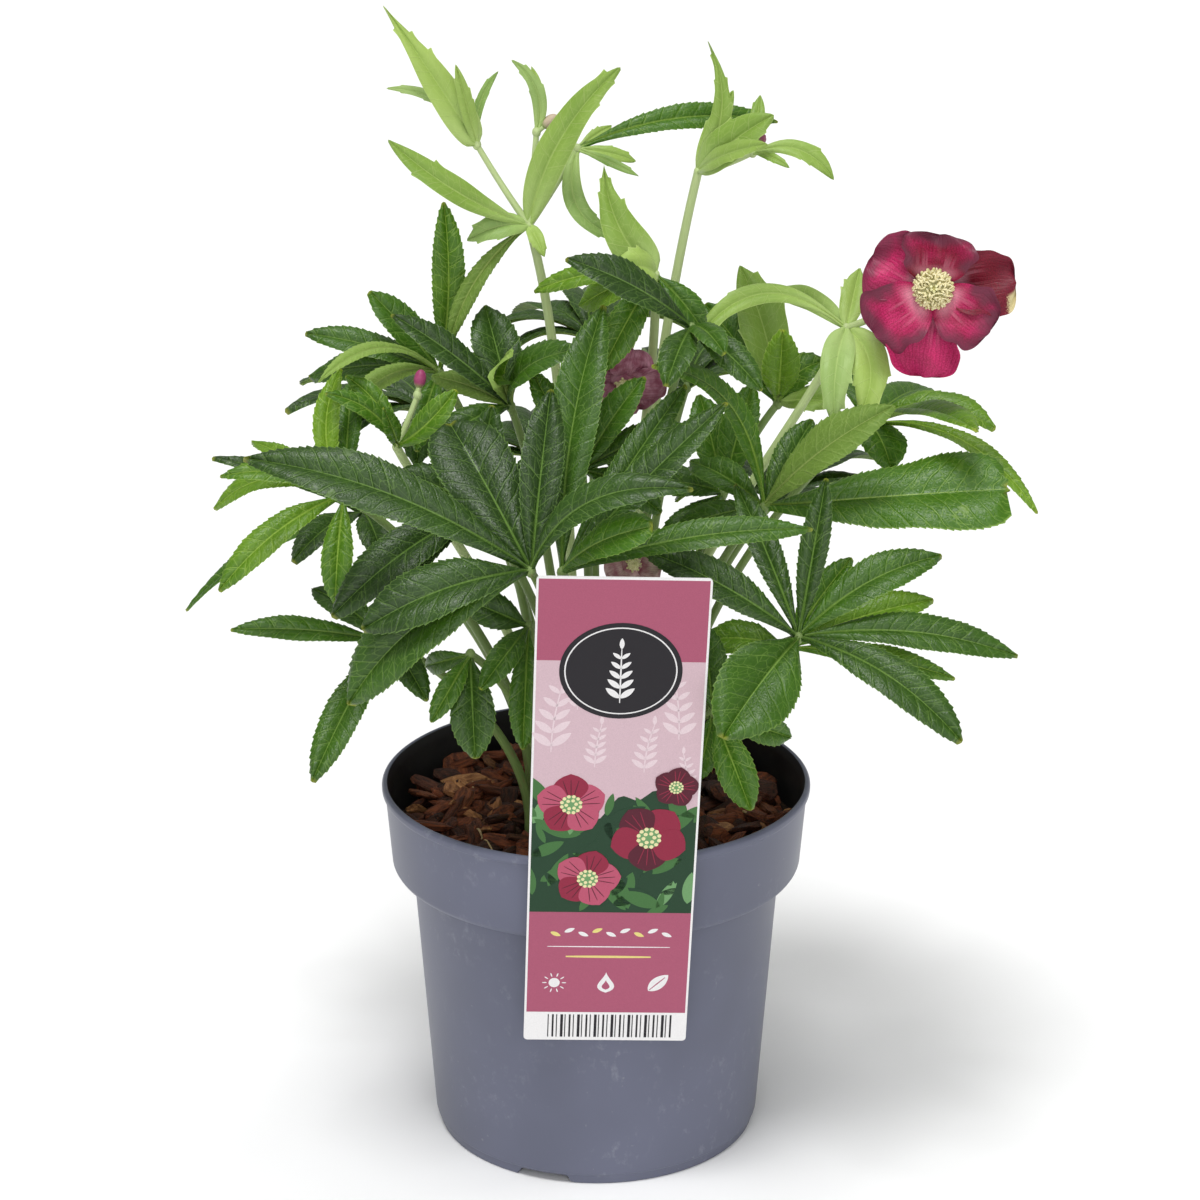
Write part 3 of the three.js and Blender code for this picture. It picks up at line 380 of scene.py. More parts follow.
def stalk_look():
    look = Look("stalk", Specular_IOR_Level=0.35)
    span, place = look.attributes()
    _, t, age = look.split(place)
    streaks = look.noise(look.scaled(span, (1.0, 1.0, 0.05)), 2.2, 4.0)
    blotch = look.noise(look.scaled(span, (0.5, 0.5, 0.1)), 1.4, 3.0)
    mature = look.mix(streaks, (0.120, 0.200, 0.050), (0.240, 0.330, 0.110))
    young = look.mix(streaks, (0.380, 0.500, 0.190), (0.560, 0.660, 0.330))
    colour = look.mix(age.step(0.2, 0.8), mature, young)
    flush = blotch.step(0.56, 0.72) * t.step(0.75, 0.2, 0.0, 0.35)
    colour = look.mix(flush, colour, (0.240, 0.055, 0.070))
    return look.finish(colour, streaks.spread(0.38, 0.52), streaks, 0.25)


def sepal_veins(look, place, count):
    """Fine veins that fan out of a sepal's foot, wandering a little."""
    s, _, _ = look.split(place)
    lane = (s + look.noise(place, 3.0, 3.0).swing(0.24)) * count
    return look.math("PINGPONG", lane, 0.5).fall(0.03, 0.22)


def sepal_face():
    look = Look("sepal_face", Specular_IOR_Level=0.2, Sheen_Weight=0.12, Sheen_Roughness=0.35,
                Sheen_Tint=(1.0, 0.6, 0.8, 1))
    span, place = look.attributes()
    s, t, tone = look.split(place)
    veins, across = sepal_veins(look, place, 9.0), abs(s)
    cloud, cells = look.noise(span, 0.10, 4.0), look.noise(span, 1.9, 3.0)
    mottle = cells.step(0.34, 0.66)
    bright = look.mix(mottle, (0.390, 0.009, 0.075), (0.590, 0.028, 0.153))
    deep = look.mix(mottle, (0.110, 0.003, 0.010), (0.200, 0.006, 0.022))
    shade = look.math("MULTIPLY_ADD", cloud, 1.2, -0.35) + tone
    colour = look.mix(shade.step(0.15, 1.0), bright, deep)
    colour = look.mix(veins * 0.24, colour, (0.150, 0.004, 0.024))
    dusky = look.mix(cloud, (0.070, 0.008, 0.020), (0.190, 0.050, 0.085))
    frayed = most(across * t.step(0.1, 0.5), t.step(0.45, 1.0)) + cloud.swing(0.9)
    between = tone.step(0.02, 0.14, 0.2) * tone.step(0.72, 0.62, 0.2)
    colour = look.mix(frayed.step(0.48, 0.95, 0.0, 0.9) * between, colour, dusky)
    streak = look.noise(look.scaled(place, (6.0, 0.4, 1.0)), 1.1, 2.0)
    glow = t.step(0.72, 0.15) * streak.step(0.50, 0.62) * across.step(0.95, 0.2)
    foot = t.step(0.46, 0.20) * across.step(1.0, 0.3)
    colour = look.mix(most(glow * 0.45, foot * 0.85), colour, (0.760, 0.330, 0.420))
    ragged = look.math("MULTIPLY_ADD", cells, 0.16, t).step(0.93, 0.99)
    torn = tone.step(0.7, 0.74) * s.step(0.35, 0.55) * ragged
    colour = look.mix(torn, colour, (0.620, 0.540, 0.280))
    return look.finish(colour, cells.spread(0.34, 0.48), veins * -0.5 + cells * 0.5, 0.12)


def sepal_back():
    look = Look("sepal_back", Specular_IOR_Level=0.25, Sheen_Weight=0.2, Sheen_Roughness=0.5)
    span, place = look.attributes()
    _, t, _ = look.split(place)
    veins = sepal_veins(look, place, 7.0)
    cells = look.noise(span, 1.2, 3.0)
    plum = look.mix(cells, (0.230, 0.045, 0.110), (0.420, 0.170, 0.290))
    colour = look.mix(t.step(0.4, 0.0, 0.0, 0.6), plum, (0.240, 0.260, 0.110))
    colour = look.mix(veins * 0.3, colour, (0.130, 0.014, 0.040))
    return look.finish(colour, cells.spread(0.5, 0.62), veins, 0.15)


def faded_look(name, dark, light):
    """The skin of a sepal that is going over: dull, with cloudy tones and veins of the darker one."""
    look = Look(name, Specular_IOR_Level=0.2)
    span, place = look.attributes()
    veins = sepal_veins(look, place, 7.0)
    cloud = look.noise(span, 0.22, 4.0)
    colour = look.mix(veins * 0.3, look.mix(cloud.spread(), dark, light), dark)
    return look.finish(colour, cloud.spread(0.5, 0.65), veins, 0.12)


def bud_look():
    look = Look("bud_skin", Specular_IOR_Level=0.3)
    span, place = look.attributes()
    _, t, pale = look.split(place)
    cells = look.noise(span, 0.5, 3.0)
    plum = look.mix(cells, (0.230, 0.018, 0.085), (0.430, 0.090, 0.200))
    plum = look.mix(pale, plum, (0.560, 0.470, 0.330))
    colour = look.mix(t.step(0.35, 0.05, 0.0, 0.85), plum, (0.230, 0.320, 0.090))
    return look.finish(colour, cells.spread(0.4, 0.55), cells, 0.3)


def grainy(name, dark, light, size, rough, depth, **settings):
    """A plain material with two tones, an uneven gloss and a fine relief, all of one grain size."""
    look = Look(name, **settings)
    grain = look.noise(look.here(), 1 / (size * MM), 4.0, 0.55)
    return look.finish(look.mix(grain.spread(), dark, light), grain.spread(*rough), grain, depth)


def pot_look():
    look = Look("pot_plastic", Specular_IOR_Level=0.3)
    at = look.here()
    cloud, grain = look.noise(at, 14.0, 3.0), look.noise(at, 1400.0, 2.0)
    base = look.mix(cloud.spread(), (0.113, 0.121, 0.170), (0.134, 0.143, 0.203))
    drag = look.noise(look.scaled(at, (1.0, 1.0, 0.75)), 230.0, 5.0, 0.7)
    worn = drag.step(0.52, 0.80) * look.noise(at, 26.0, 2.0).step(0.47, 0.62)
    colour = look.mix(worn * 0.6, base, (0.290, 0.305, 0.345))
    dust = look.noise(at, 420.0, 2.0).step(0.72, 0.80, 0.0, 0.35)
    colour = look.mix(dust, colour, (0.300, 0.300, 0.310))
    return look.finish(colour, cloud.spread(0.36, 0.44) + worn * 0.2, grain * 0.25 + worn * 0.5, 0.06)


def bark_look():
    look = Look("bark_chip", Specular_IOR_Level=0.3)
    span, place = look.attributes()
    tone, kind, _ = look.split(place)
    layers = look.noise(look.scaled(span, (0.10, 0.55, 1.6)), 1.0, 6.0, 0.68)
    crumbs = look.noise(span, 1.5, 4.0, 0.6)
    flakes = look.cells(look.scaled(span, (0.35, 0.9, 1.8)), 0.5, "F1")
    shade = layers.spread()
    red = look.mix(shade, (0.042, 0.010, 0.005), (0.260, 0.070, 0.024))
    tan = look.mix(shade, (0.200, 0.076, 0.026), (0.560, 0.270, 0.110))
    dark = look.mix(shade, (0.007, 0.003, 0.002), (0.080, 0.024, 0.012))
    colour = look.mix(kind.step(0.78, 0.95), look.mix(tone.spread(), dark, red), tan)
    colour = look.mix(flakes.step(0.55, 0.95, 0.0, 0.35), colour, (0.020, 0.008, 0.005))
    return look.finish(colour, crumbs.spread(0.55, 0.8), layers + crumbs * 0.5 - flakes * 0.4, 0.9)


def lining_and_shade_look():
    look = Look("pot_lining", Specular_IOR_Level=0.3)
    at = look.here()
    cloud = look.noise(at, 30.0, 4.0)
    # Near-black: the inner skin's black plastic, made darker with painted shade of the deep pot's inside.
    colour = look.mix(cloud.step(0.35, 0.7), (0.008, 0.008, 0.009), (0.020, 0.019, 0.020))
    return look.finish(colour, cloud.spread(0.38, 0.55), look.noise(at, 1400.0, 2.0), 0.04)


def soil_look():
    look = Look("potting_mix", Specular_IOR_Level=0.2)
    at = look.here()
    crumbs = look.noise(at, 420.0, 6.0, 0.7)
    colour = look.mix(crumbs.step(0.35, 0.7), (0.008, 0.005, 0.003), (0.060, 0.030, 0.017))
    height = crumbs + look.cells(at, 210.0, "F1") * 0.7
    return look.finish(colour, crumbs.spread(0.8, 0.95), height, 1.6)


LEAF_UPPER, LEAF_UNDER, STALK = leaf_upper(), leaf_under(), stalk_look()
BRACT_UPPER = bract_look(
    "bract_upper", (0.185, 0.310, 0.045), (0.360, 0.505, 0.115), (0.510, 0.640, 0.220), 0.3)
BRACT_UNDER = bract_look(
    "bract_under", (0.200, 0.330, 0.075), (0.360, 0.500, 0.170), (0.470, 0.590, 0.230), 0.25)
SEPAL_FACE, SEPAL_BACK, BUD = sepal_face(), sepal_back(), bud_look()
DUSKY = faded_look("sepal_dusky", (0.240, 0.055, 0.100), (0.540, 0.260, 0.340))
PALE = faded_look("sepal_pale", (0.300, 0.090, 0.130), (0.640, 0.470, 0.430))
ANTHER = grainy("anther", (0.66, 0.58, 0.27), (0.90, 0.84, 0.56), 0.5, (0.5, 0.7), 0.12)
FILAMENT = grainy("filament", (0.66, 0.64, 0.30), (0.84, 0.80, 0.50), 0.6, (0.4, 0.55), 0.05)
NECTARY = grainy("nectary", (0.60, 0.58, 0.24), (0.82, 0.78, 0.44), 0.8, (0.35, 0.5), 0.08)
POT, LINING_AND_SHADE, BARK, SOIL = pot_look(), lining_and_shade_look(), bark_look(), soil_look()
STRAW = grainy("straw", (0.30, 0.20, 0.09), (0.52, 0.38, 0.20), 0.7, (0.6, 0.8), 0.1)
CARD = grainy("label_card", (0.74, 0.73, 0.73), (0.82, 0.81, 0.81), 0.4, (0.30, 0.38), 0.01)


# ---------------------------------------------------------------- pot
RIM_RADIUS, POT_HEIGHT, WALL = 85.0, 146.7, 1.6
FOOT_RADIUS, FOOT_HEIGHT, BODY_SLOPE = 64.3, 4.0, 0.07
COLLAR_BOTTOM, COLLAR_RADIUS, LIP_HEIGHT = 112.0, 81.4, 4.2
NOTCH_COUNT, NOTCH_ANGLE, NOTCH_WIDTH, NOTCH_HEIGHT = 3, -108.7, 23.0, 3.4
DRAIN_RADIUS, DRAIN_CIRCLE, DRAIN_COUNT, DRAIN_SIDES = 5.0, 44.0, 6, 24
POT_SIDES, POT_ROUNDING, POT_SHARP = 288, 0.7, 38
STEM_FOOT, STEM_CLEAR, BARK_TOP = 100.0, 136.0, 125.5


def body_outer(height):
    return FOOT_RADIUS + 1.2 + BODY_SLOPE * height


def pot_profile():
    """Radius and height round the pot's section, from the middle of its floor below to that above."""
    lip, low = RIM_RADIUS - 1.3, POT_HEIGHT - LIP_HEIGHT
    inner = body_outer(COLLAR_BOTTOM) - WALL
    return np.array([
        (0, FOOT_HEIGHT), (FOOT_RADIUS - 4.5, FOOT_HEIGHT), (FOOT_RADIUS - 3.5, 0), (FOOT_RADIUS, 0),
        (FOOT_RADIUS + 0.5, FOOT_HEIGHT), (body_outer(FOOT_HEIGHT), FOOT_HEIGHT + 0.6),
        (body_outer(COLLAR_BOTTOM), COLLAR_BOTTOM - 0.8), (COLLAR_RADIUS - 1.2, COLLAR_BOTTOM),
        (COLLAR_RADIUS, COLLAR_BOTTOM + 1.8), (lip, low), (RIM_RADIUS, low + 1),
        (RIM_RADIUS, POT_HEIGHT - 1), (RIM_RADIUS - 1, POT_HEIGHT), (RIM_RADIUS - 2, POT_HEIGHT),
        (lip - WALL, low), (COLLAR_RADIUS - WALL, COLLAR_BOTTOM + 3.4), (inner + 0.2, COLLAR_BOTTOM + 0.8),
        (body_outer(FOOT_HEIGHT + 2) - WALL, FOOT_HEIGHT + 2), (0, FOOT_HEIGHT + 2),
    ], float)


def rounded(profile, reach):
    """The profile with each of its inner corners turned into a short curve."""
    points = [profile[0]]
    for before, corner, after in zip(profile, profile[1:], profile[2:]):
        cut = min(reach, 0.42 * np.linalg.norm(before - corner), 0.42 * np.linalg.norm(after - corner))
        ends = [corner + cut * unit(before - corner), corner, corner + cut * unit(after - corner)]
        points.extend(bezier(ends, np.linspace(0, 1, 4)))
    return np.array([*points, profile[-1]])


def lathe(profile, sides):
    """Corners and faces of a profile spun round Z, with a single corner at each end on the axis."""
    ring = circle_points(sides)
    rows = [np.column_stack([radius * ring, np.full(sides, height)]) for radius, height in profile[1:-1]]
    corners = np.concatenate([*rows, [(0, 0, profile[0][1]), (0, 0, profile[-1][1])]])
    faces = grid_faces(len(rows), sides, closed=True)
    first, last = len(rows) * sides, (len(rows) - 1) * sides
    for k in range(sides):
        after = (k + 1) % sides
        faces.append((first, after, k))
        faces.append((first + 1, last + k, last + after))
    return corners, faces


def cut_notches(corners):
    """Lifts the foot ring's lower edge where its shallow notches are."""
    angle = np.degrees(np.arctan2(corners[:, 1], corners[:, 0]))
    for i in range(NOTCH_COUNT):
        away = np.abs((angle - NOTCH_ANGLE - 360 / NOTCH_COUNT * i + 180) % 360 - 180)
        lift = np.clip((NOTCH_WIDTH / 2 - np.radians(away) * FOOT_RADIUS) / 2, 0, 1) * NOTCH_HEIGHT
        corners[:, 2] = np.where(corners[:, 2] < lift, lift, corners[:, 2])
    return corners


def drill(piece):
    """Cuts the drain holes through the pot's floor."""
    cutter = Piece("drain_cutter")
    for x, y in circle_points(DRAIN_COUNT, DRAIN_CIRCLE):
        ends = [(x, y, FOOT_HEIGHT - 1), (x, y, FOOT_HEIGHT + 3)]
        add_tube(cutter, ends, [DRAIN_RADIUS], POT, DRAIN_SIDES)
    mesh = bpy.data.meshes.new(cutter.name)
    mesh.from_pydata((np.concatenate(cutter.corners) * MM).tolist(), [], cutter.faces)
    tool = bpy.data.objects.new(cutter.name, mesh)
    bpy.context.scene.collection.objects.link(tool)
    modifier = piece.modifiers.new("drains", "BOOLEAN")
    modifier.operation, modifier.solver, modifier.object = "DIFFERENCE", "EXACT", tool
    drilled = bpy.data.meshes.new_from_object(piece.evaluated_get(bpy.context.evaluated_depsgraph_get()))
    piece.modifiers.clear()
    piece.data = drilled
    bpy.data.objects.remove(tool)


def line_and_shade_inside(piece):
    """Gives the faces inside the pot, below its rim, the black of its inner skin, darkened further with
    painted shade of the pot's inside.
    """
    # The lining material holds the inner skin's black and painted shade of the pot's inside.
    piece.data.materials.append(LINING_AND_SHADE)
    for face in piece.data.polygons:
        x, y, z = face.center / MM
        away = math.hypot(x, y)
        inward = -(face.normal.x * x + face.normal.y * y) / max(away, 0.001)
        inside = inward > 0.3 or (face.normal.z > 0.3 and away < FOOT_RADIUS)
        if FOOT_HEIGHT + 1 < z < POT_HEIGHT - 0.9 and inside:
            face.material_index = 1


def make_pot():
    piece = Piece("pot_moulded")
    corners, faces = lathe(rounded(pot_profile(), POT_ROUNDING), POT_SIDES)
    piece.add(cut_notches(corners), faces, POT)
    pot = piece.build("pot", replaces=["pot"], sharp=POT_SHARP)
    drill(pot)
    line_and_shade_inside(pot)


# ---------------------------------------------------------------- bark on the mix
# Each layer of bark: how many chips, shortest and longest, height over the mix, and most tilt.
CHIP_LAYERS = (
    (420, 4, 9, 0.8, 0.5), (400, 6, 13, 3.2, 0.7), (320, 8, 17, 6.0, 0.8), (190, 9, 21, 8.4, 0.6),
)
CHIP_SEED = 4021
CHIP_STEPS = (-1.0, -0.35, 0.4, 1.0)
# How far out a chip's middle may lie and how near a stalk, each with a share of the chip's length.
CHIP_REACH, REACH_SHARE = 79.4, 0.46
CHIP_GAP, GAP_SHARE = 2.6, 0.42
STRAW_COUNT, STRAW_RING, STRAW_HALF = 7, (46, 66), (4, 7)
STRAW_ENDS, STRAW_MIDDLE, STRAW_RADII = 9.5, 12, [0.3, 0.55, 0.25]


def direction(angle):
    return np.array([math.cos(angle), math.sin(angle)])


def chip_grid():
    """Corners and faces of a cube with three by three fields on each side."""
    index, faces = {}, []
    for axis, sign, a, b in product(range(3), (-1.0, 1.0), range(3), range(3)):
        ring = [(a, b), (a + 1, b), (a + 1, b + 1), (a, b + 1)]
        face = []
        for i, j in ring if sign > 0 else reversed(ring):
            point = [0.0, 0.0, 0.0]
            point[axis], point[(axis + 1) % 3], point[(axis + 2) % 3] = sign, CHIP_STEPS[i], CHIP_STEPS[j]
            face.append(index.setdefault(tuple(point), len(index)))
        faces.append(tuple(face))
    return np.array(list(index)), faces


CHIP_CORNERS, CHIP_FACES = chip_grid()


def chip_shape(draw, length, width, thick):
    """A blocky flake of bark: a cube's grid with blunted edges, pulled out of square and roughened."""
    points = CHIP_CORNERS.copy()
    points *= 1 - 0.16 * (np.sum(np.abs(points) > 0.9, axis=1) - 1)[:, None]
    points += draw.normal(0, 0.085, points.shape)
    points[:, 2] *= 1 - draw.uniform(0, 0.5) * points[:, 0]
    points[:, 1] *= 1 + draw.uniform(-0.4, 0.4) * points[:, 0]
    points[:, 1] += draw.uniform(-0.25, 0.25) * points[:, 0] ** 2
    return points * np.array([length, width, thick]) / 2


def spin(turn, tilt_x, tilt_y):
    """A turn about Z after small tilts, as a matrix."""
    about_x, about_y = Matrix.Rotation(tilt_x, 3, "X"), Matrix.Rotation(tilt_y, 3, "Y")
    return np.array(Matrix.Rotation(turn, 3, "Z") @ about_x @ about_y)


def add_chip(piece, draw, feet, shortest, longest, lift, tilt):
    """One chip of a layer, left out where it would lie over a stalk's foot."""
    length = draw.uniform(shortest, longest)
    width = length * draw.uniform(0.30, 0.66)
    thick = draw.uniform(1.3, 2.9) + 0.08 * length
    radius = (CHIP_REACH - REACH_SHARE * length) * math.sqrt(draw.uniform(0.0, 1.0))
    centre = radius * direction(draw.uniform(0, 2 * np.pi))
    points = chip_shape(draw, length, width, thick)
    turn = spin(draw.uniform(0, 2 * np.pi), *draw.uniform(-tilt, tilt, 2))
    tone, kind, seed = draw.uniform(0, 1), draw.uniform(0, 1), draw.uniform(0, 900, 3)
    if np.min(np.linalg.norm(feet - centre, axis=1)) >= CHIP_GAP + GAP_SHARE * length:
        height = BARK_TOP + lift + draw.uniform(-0.6, 0.6)
        piece.add(points @ turn.T + (*centre, height), CHIP_FACES, BARK, (tone, kind, 0), points + seed)


def add_straw(piece, draw):
    angle, turn = draw.uniform(0, 2 * np.pi, 2)
    middle = draw.uniform(*STRAW_RING, 2) * direction(angle)
    half = draw.uniform(*STRAW_HALF) * direction(turn)
    low, high = BARK_TOP + STRAW_ENDS, BARK_TOP + STRAW_MIDDLE
    ends = [(*(middle - half), low), (*middle, high), (*(middle + half), low)]
    add_tube(piece, bezier(ends, np.linspace(0, 1, 9)), STRAW_RADII, STRAW, sides=6)


def repaint(node, look):
    """Gives a CAD node that stays in sight its one material."""
    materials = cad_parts[node].data.materials
    materials.clear()
    materials.append(look)


def make_bark(feet):
    """Layers of bark chips on the mix, clear of the stalks and of the pot's wall, and a few straws."""
    draw = np.random.default_rng(CHIP_SEED)
    piece = Piece("bark_chips")
    feet = np.array(feet, float)
    for count, *layer in CHIP_LAYERS:
        for _ in range(count):
            add_chip(piece, draw, feet, *layer)
    for _ in range(STRAW_COUNT):
        add_straw(piece, draw)
    repaint("bark_mix", SOIL)
    piece.build("bark_mix", sharp=28)


# ---------------------------------------------------------------- blades
def blade_form(base, end, teeth, fold=0.28, wave=0.06):
    """A form of blade: how full it is at its foot and its end, its teeth, its fold and its waves."""
    return SimpleNamespace(base=base, end=end, teeth=teeth, fold=fold, wave=wave)


FORMS = {
    "leaflet": blade_form(1.15, 0.8, "saw", wave=0.05),
    "blunt": blade_form(1.05, 0.42, "saw", 0.16, 0.04),
    "bract": blade_form(0.6, 0.75, "few"),
    "lance": blade_form(1.1, 0.85, "few"),
    "sheath": blade_form(0.42, 1.2, "few"),
    "torn": blade_form(0.9, 0.2, "saw", 0.1, 0.04),
    "sepal": blade_form(0.62, 0.3, None, 0.08, 0.03),
}
SLENDERNESS = 0.98
STALK_HALF_WIDTH = 1.1
TOOTH_PITCH, LOBE_PITCH = 2.5, 4.5
RAGGED = 1.7
# A blade's CAD solid may have its tip moved along RECEDE by one of SHIFTS, and its size cut to one of SHARES.
RECEDE = np.array((0, 0.94, -0.34))
SHIFTS = (0, 6, -6, 12, -12, 18, -18, 24, -24, 30, -30, 36, -36)
SHARES = (1, 0.86, 0.72)
SAME_CORNER = 0.02


def fullness(form, t):
    """How wide a blade is at t along it, as a share of its full width."""
    widest = form.base / (form.base + form.end)
    peak = widest ** form.base * (1 - widest) ** form.end
    return t ** form.base * (1 - t) ** form.end / peak


def make_blade(root, tip, width, arch, roll, bend, face, form, phase):
    root, tip, face = (np.asarray(point, float) for point in (root, tip, face))
    along = unit(tip - root)
    up = perpendicular(face, along)
    side = np.cross(along, up)
    control = (root + tip) / 2 + up * 2 * arch + side * 2 * bend
    return SimpleNamespace(
        root=root, tip=tip, control=control, width=width, roll=math.radians(roll),
        face=face, form=form, phase=phase, length=float(np.linalg.norm(tip - root)),
    )


def blade_axes(blade, t):
    """The midrib's points at t with the directions along it, up from it and to its side."""
    centre = bezier([blade.root, blade.control, blade.tip], t)
    t = np.asarray(t)[:, None]
    along = unit((blade.control - blade.root) * (1 - t) + (blade.tip - blade.control) * t)
    flat = perpendicular(blade.face, along)
    up = flat * math.cos(blade.roll) + np.cross(along, flat) * math.sin(blade.roll)
    return centre, along, up, np.cross(along, up)


def blade_skins(blade, rows, columns, teeth, relief, waver):
    """The corners of a blade's upper and under skins, and how far from the midrib each of them lies."""
    centre, along, up, side = blade_axes(blade, rows)
    t, s = rows[:, None], columns[None, :]
    half = np.maximum(np.where(rows < 0.5, STALK_HALF_WIDTH, 0), blade.width / 2 * fullness(blade.form, rows))
    tooth = np.zeros((len(rows), len(columns)))
    tooth[:, 0], tooth[:, -1] = teeth[:, 0], teeth[:, 1]
    stretch = 1 + waver(s, t) if waver else 1.0
    out = half[:, None] * s * stretch + np.sign(s) * tooth
    form, width = blade.form, blade.width
    wave = form.wave * width * np.sin(9 * t + blade.phase + 1.7 * (s > 0)) * s * s * t
    lift = np.abs(out) * math.sin(form.fold) + wave + relief(s, t, out, t * blade.length)
    ragged = RAGGED * (np.sin(5 * s + 2) + 0.7 * np.sin(13 * s)) * smooth(t, 0.72, 1.0)
    forward = 0.5 * tooth + (ragged if form is FORMS["torn"] else 0)
    middle = (
        centre[:, None] + side[:, None] * (out * math.cos(form.fold))[..., None]
        + up[:, None] * lift[..., None] + along[:, None] * forward[..., None]
    )
    plump = 0.3 * (1 - s ** 2) * np.ones_like(t)
    keel = np.exp(-((s / 0.12) ** 2)) * (0.25 + 0.65 * (1 - t))
    upper = middle + up[:, None] * (plump - 0.35 * keel)[..., None]
    under = middle - up[:, None] * (plump + keel)[..., None]
    return upper, under, out


def blade_faces(rows, wide):
    """Faces of a blade's upper skin, and of its under skin, which shares the edges and the tip with it."""
    tip, last = rows * wide, rows - 1
    upper = grid_faces(rows, wide)
    upper += [(last * wide + j, last * wide + j + 1, tip) for j in range(wide - 1)]

    def low(i, j):
        return i * wide + j if j in (0, wide - 1) else tip + i * (wide - 2) + j

    under = [
        (low(i, j), low(i + 1, j), low(i + 1, j + 1), low(i, j + 1))
        for i, j in product(range(last), range(wide - 1))
    ]
    under += [(low(last, j + 1), low(last, j), tip) for j in range(wide - 1)]
    under += [tuple(dict.fromkeys((j + 1, j, low(0, j), low(0, j + 1)))) for j in range(wide - 1)]
    return upper, under


def add_blade(piece, blade, rows, columns, teeth, relief, looks, tone, seed, waver=None):
    """A blade as one closed body. rows holds t along it, columns s across it, from -1 to 1.

    teeth gives each row how far its left and right edges stand out and forward; relief(s, t, u, v) gives
    the height of the blade's own folds; looks are its upper and its under material; waver(s, t) widens or
    narrows it."""
    upper, under, out = blade_skins(blade, rows, columns, teeth, relief, waver)
    upper_faces, under_faces = blade_faces(len(rows), len(columns))
    t, s = rows[:, None], columns[None, :]
    place = np.stack(np.broadcast_arrays(s, t, float(tone)), -1)
    span = np.stack(np.broadcast_arrays(out, t * blade.length, float(seed)), -1)
    grids, ends = (upper, place, span), (blade.tip, (0, 1, tone), (0, blade.length, seed))
    corners, *data = [np.concatenate([grid.reshape(-1, 3), [end]]) for grid, end in zip(grids, ends)]
    piece.add(corners, upper_faces, looks[0], *data)
    shifted = [tuple(index - len(corners) for index in face) for face in under_faces]
    corners, *data = [grid[:, 1:-1].reshape(-1, 3) for grid in (under, place, span)]
    piece.add(corners, shifted, looks[1], *data)


LEAF_COLUMNS = np.array([-1, -0.9, -0.72, -0.5, -0.28, -0.1, 0, 0.1, 0.28, 0.5, 0.72, 0.9, 1])


def saw_teeth(blade, seed):
    """Rows of a leaflet with fine teeth that point forward, and how far each edge stands out there."""
    count = max(6, round(blade.length / TOOTH_PITCH))
    k = np.arange(count)
    rows = np.sort(np.concatenate([k / count, (k + 0.78) / count]))
    tall = min(0.95, 0.3 + 0.025 * blade.width)
    grown = smooth(rows, 0.16, 0.34) * (1 - 0.4 * rows) * np.tile([0.0, 1.0], count)
    uneven = 0.7 + 0.6 * np.stack([np.sin(37 * rows + seed), np.sin(29 * rows + 2 * seed)], -1) ** 2
    return rows, tall * grown[:, None] * uneven


def few_teeth(blade, seed):
    """Rows of a bract, whose edges are smooth but for one or two coarse teeth near its tip."""
    draw = np.random.default_rng(int(abs(seed) * 10))
    count = max(7, round(blade.length / LOBE_PITCH))
    k = np.arange(count)
    rows = np.sort(np.concatenate([k / count, (k + 0.45) / count, (k + 0.84) / count]))
    teeth = np.zeros((len(rows), 2))
    for side in (0, 1):
        for at in draw.choice(np.arange(count // 2, count - 1), size=draw.integers(1, 3), replace=False):
            tall = min(1.5, 0.11 * blade.width) * draw.uniform(0.5, 1.0)
            teeth[3 * at + 1:3 * at + 3, side] = (0.35 * tall, tall)
    return rows, teeth


def add_leaflet(piece, blade, age, seed, turned=False):
    """A leaflet or bract with its teeth and the quilted relief between its veins."""
    few = blade.form.teeth == "few"
    rows, teeth = (few_teeth if few else saw_teeth)(blade, seed)
    width, phase = blade.width, blade.phase
    quilting = 0.12 if few else 0.34 - 0.12 * age

    def relief(s, t, u, v):
        quilt = 0.5 - 0.5 * np.cos(2 * np.pi * ((v - VEIN_SLANT * np.abs(u)) / VEIN_PITCH + 0.5 * (u > 0)))
        room = 4 * np.abs(s) * (1 - np.abs(s))
        pillow = 0.042 * width * room + quilting * quilt * np.clip(room, 0, 1) * smooth(t, 0.08, 0.25)
        ripple = 0.018 * width * np.sin(19 * t + 1.3 * phase + 2 * (s > 0)) * s * s * smooth(t, 0.1, 0.4)
        curl = -0.045 * width * s ** 4
        return pillow + ripple + curl

    upper, under = (BRACT_UPPER, BRACT_UNDER) if few else (LEAF_UPPER, LEAF_UNDER)
    looks = (under, upper) if turned else (upper, under)
    add_blade(piece, blade, rows, LEAF_COLUMNS, teeth, relief, looks, age, seed)


# ---------------------------------------------------------------- the plant's leaves and stems
FRONT, ABOVE, LEVEL, VIEWER = (0, -0.62, 0.78), (0, -0.3, 0.95), (0, 0.05, 1), (0, -0.93, 0.36)
OPEN = (0, -0.8, 0.6)


def tuft(at, *blades, bud=None):
    """A point that blades grow from, and a bud where there is one.

    A blade is its tip's x, y and z, its width, arch, roll and age, and where they aren't a plain leaflet's
    its bend, its form and whether it is turned over. A bud is its end's x, y and z and how pale it is."""
    return SimpleNamespace(at=at, blades=blades, bud=bud)


def plant(name, foot, face, *tufts, stem=False, under=None, age=0.1):
    return SimpleNamespace(name=name, foot=foot, face=face, tufts=tufts, stem=stem, under=under, age=age)


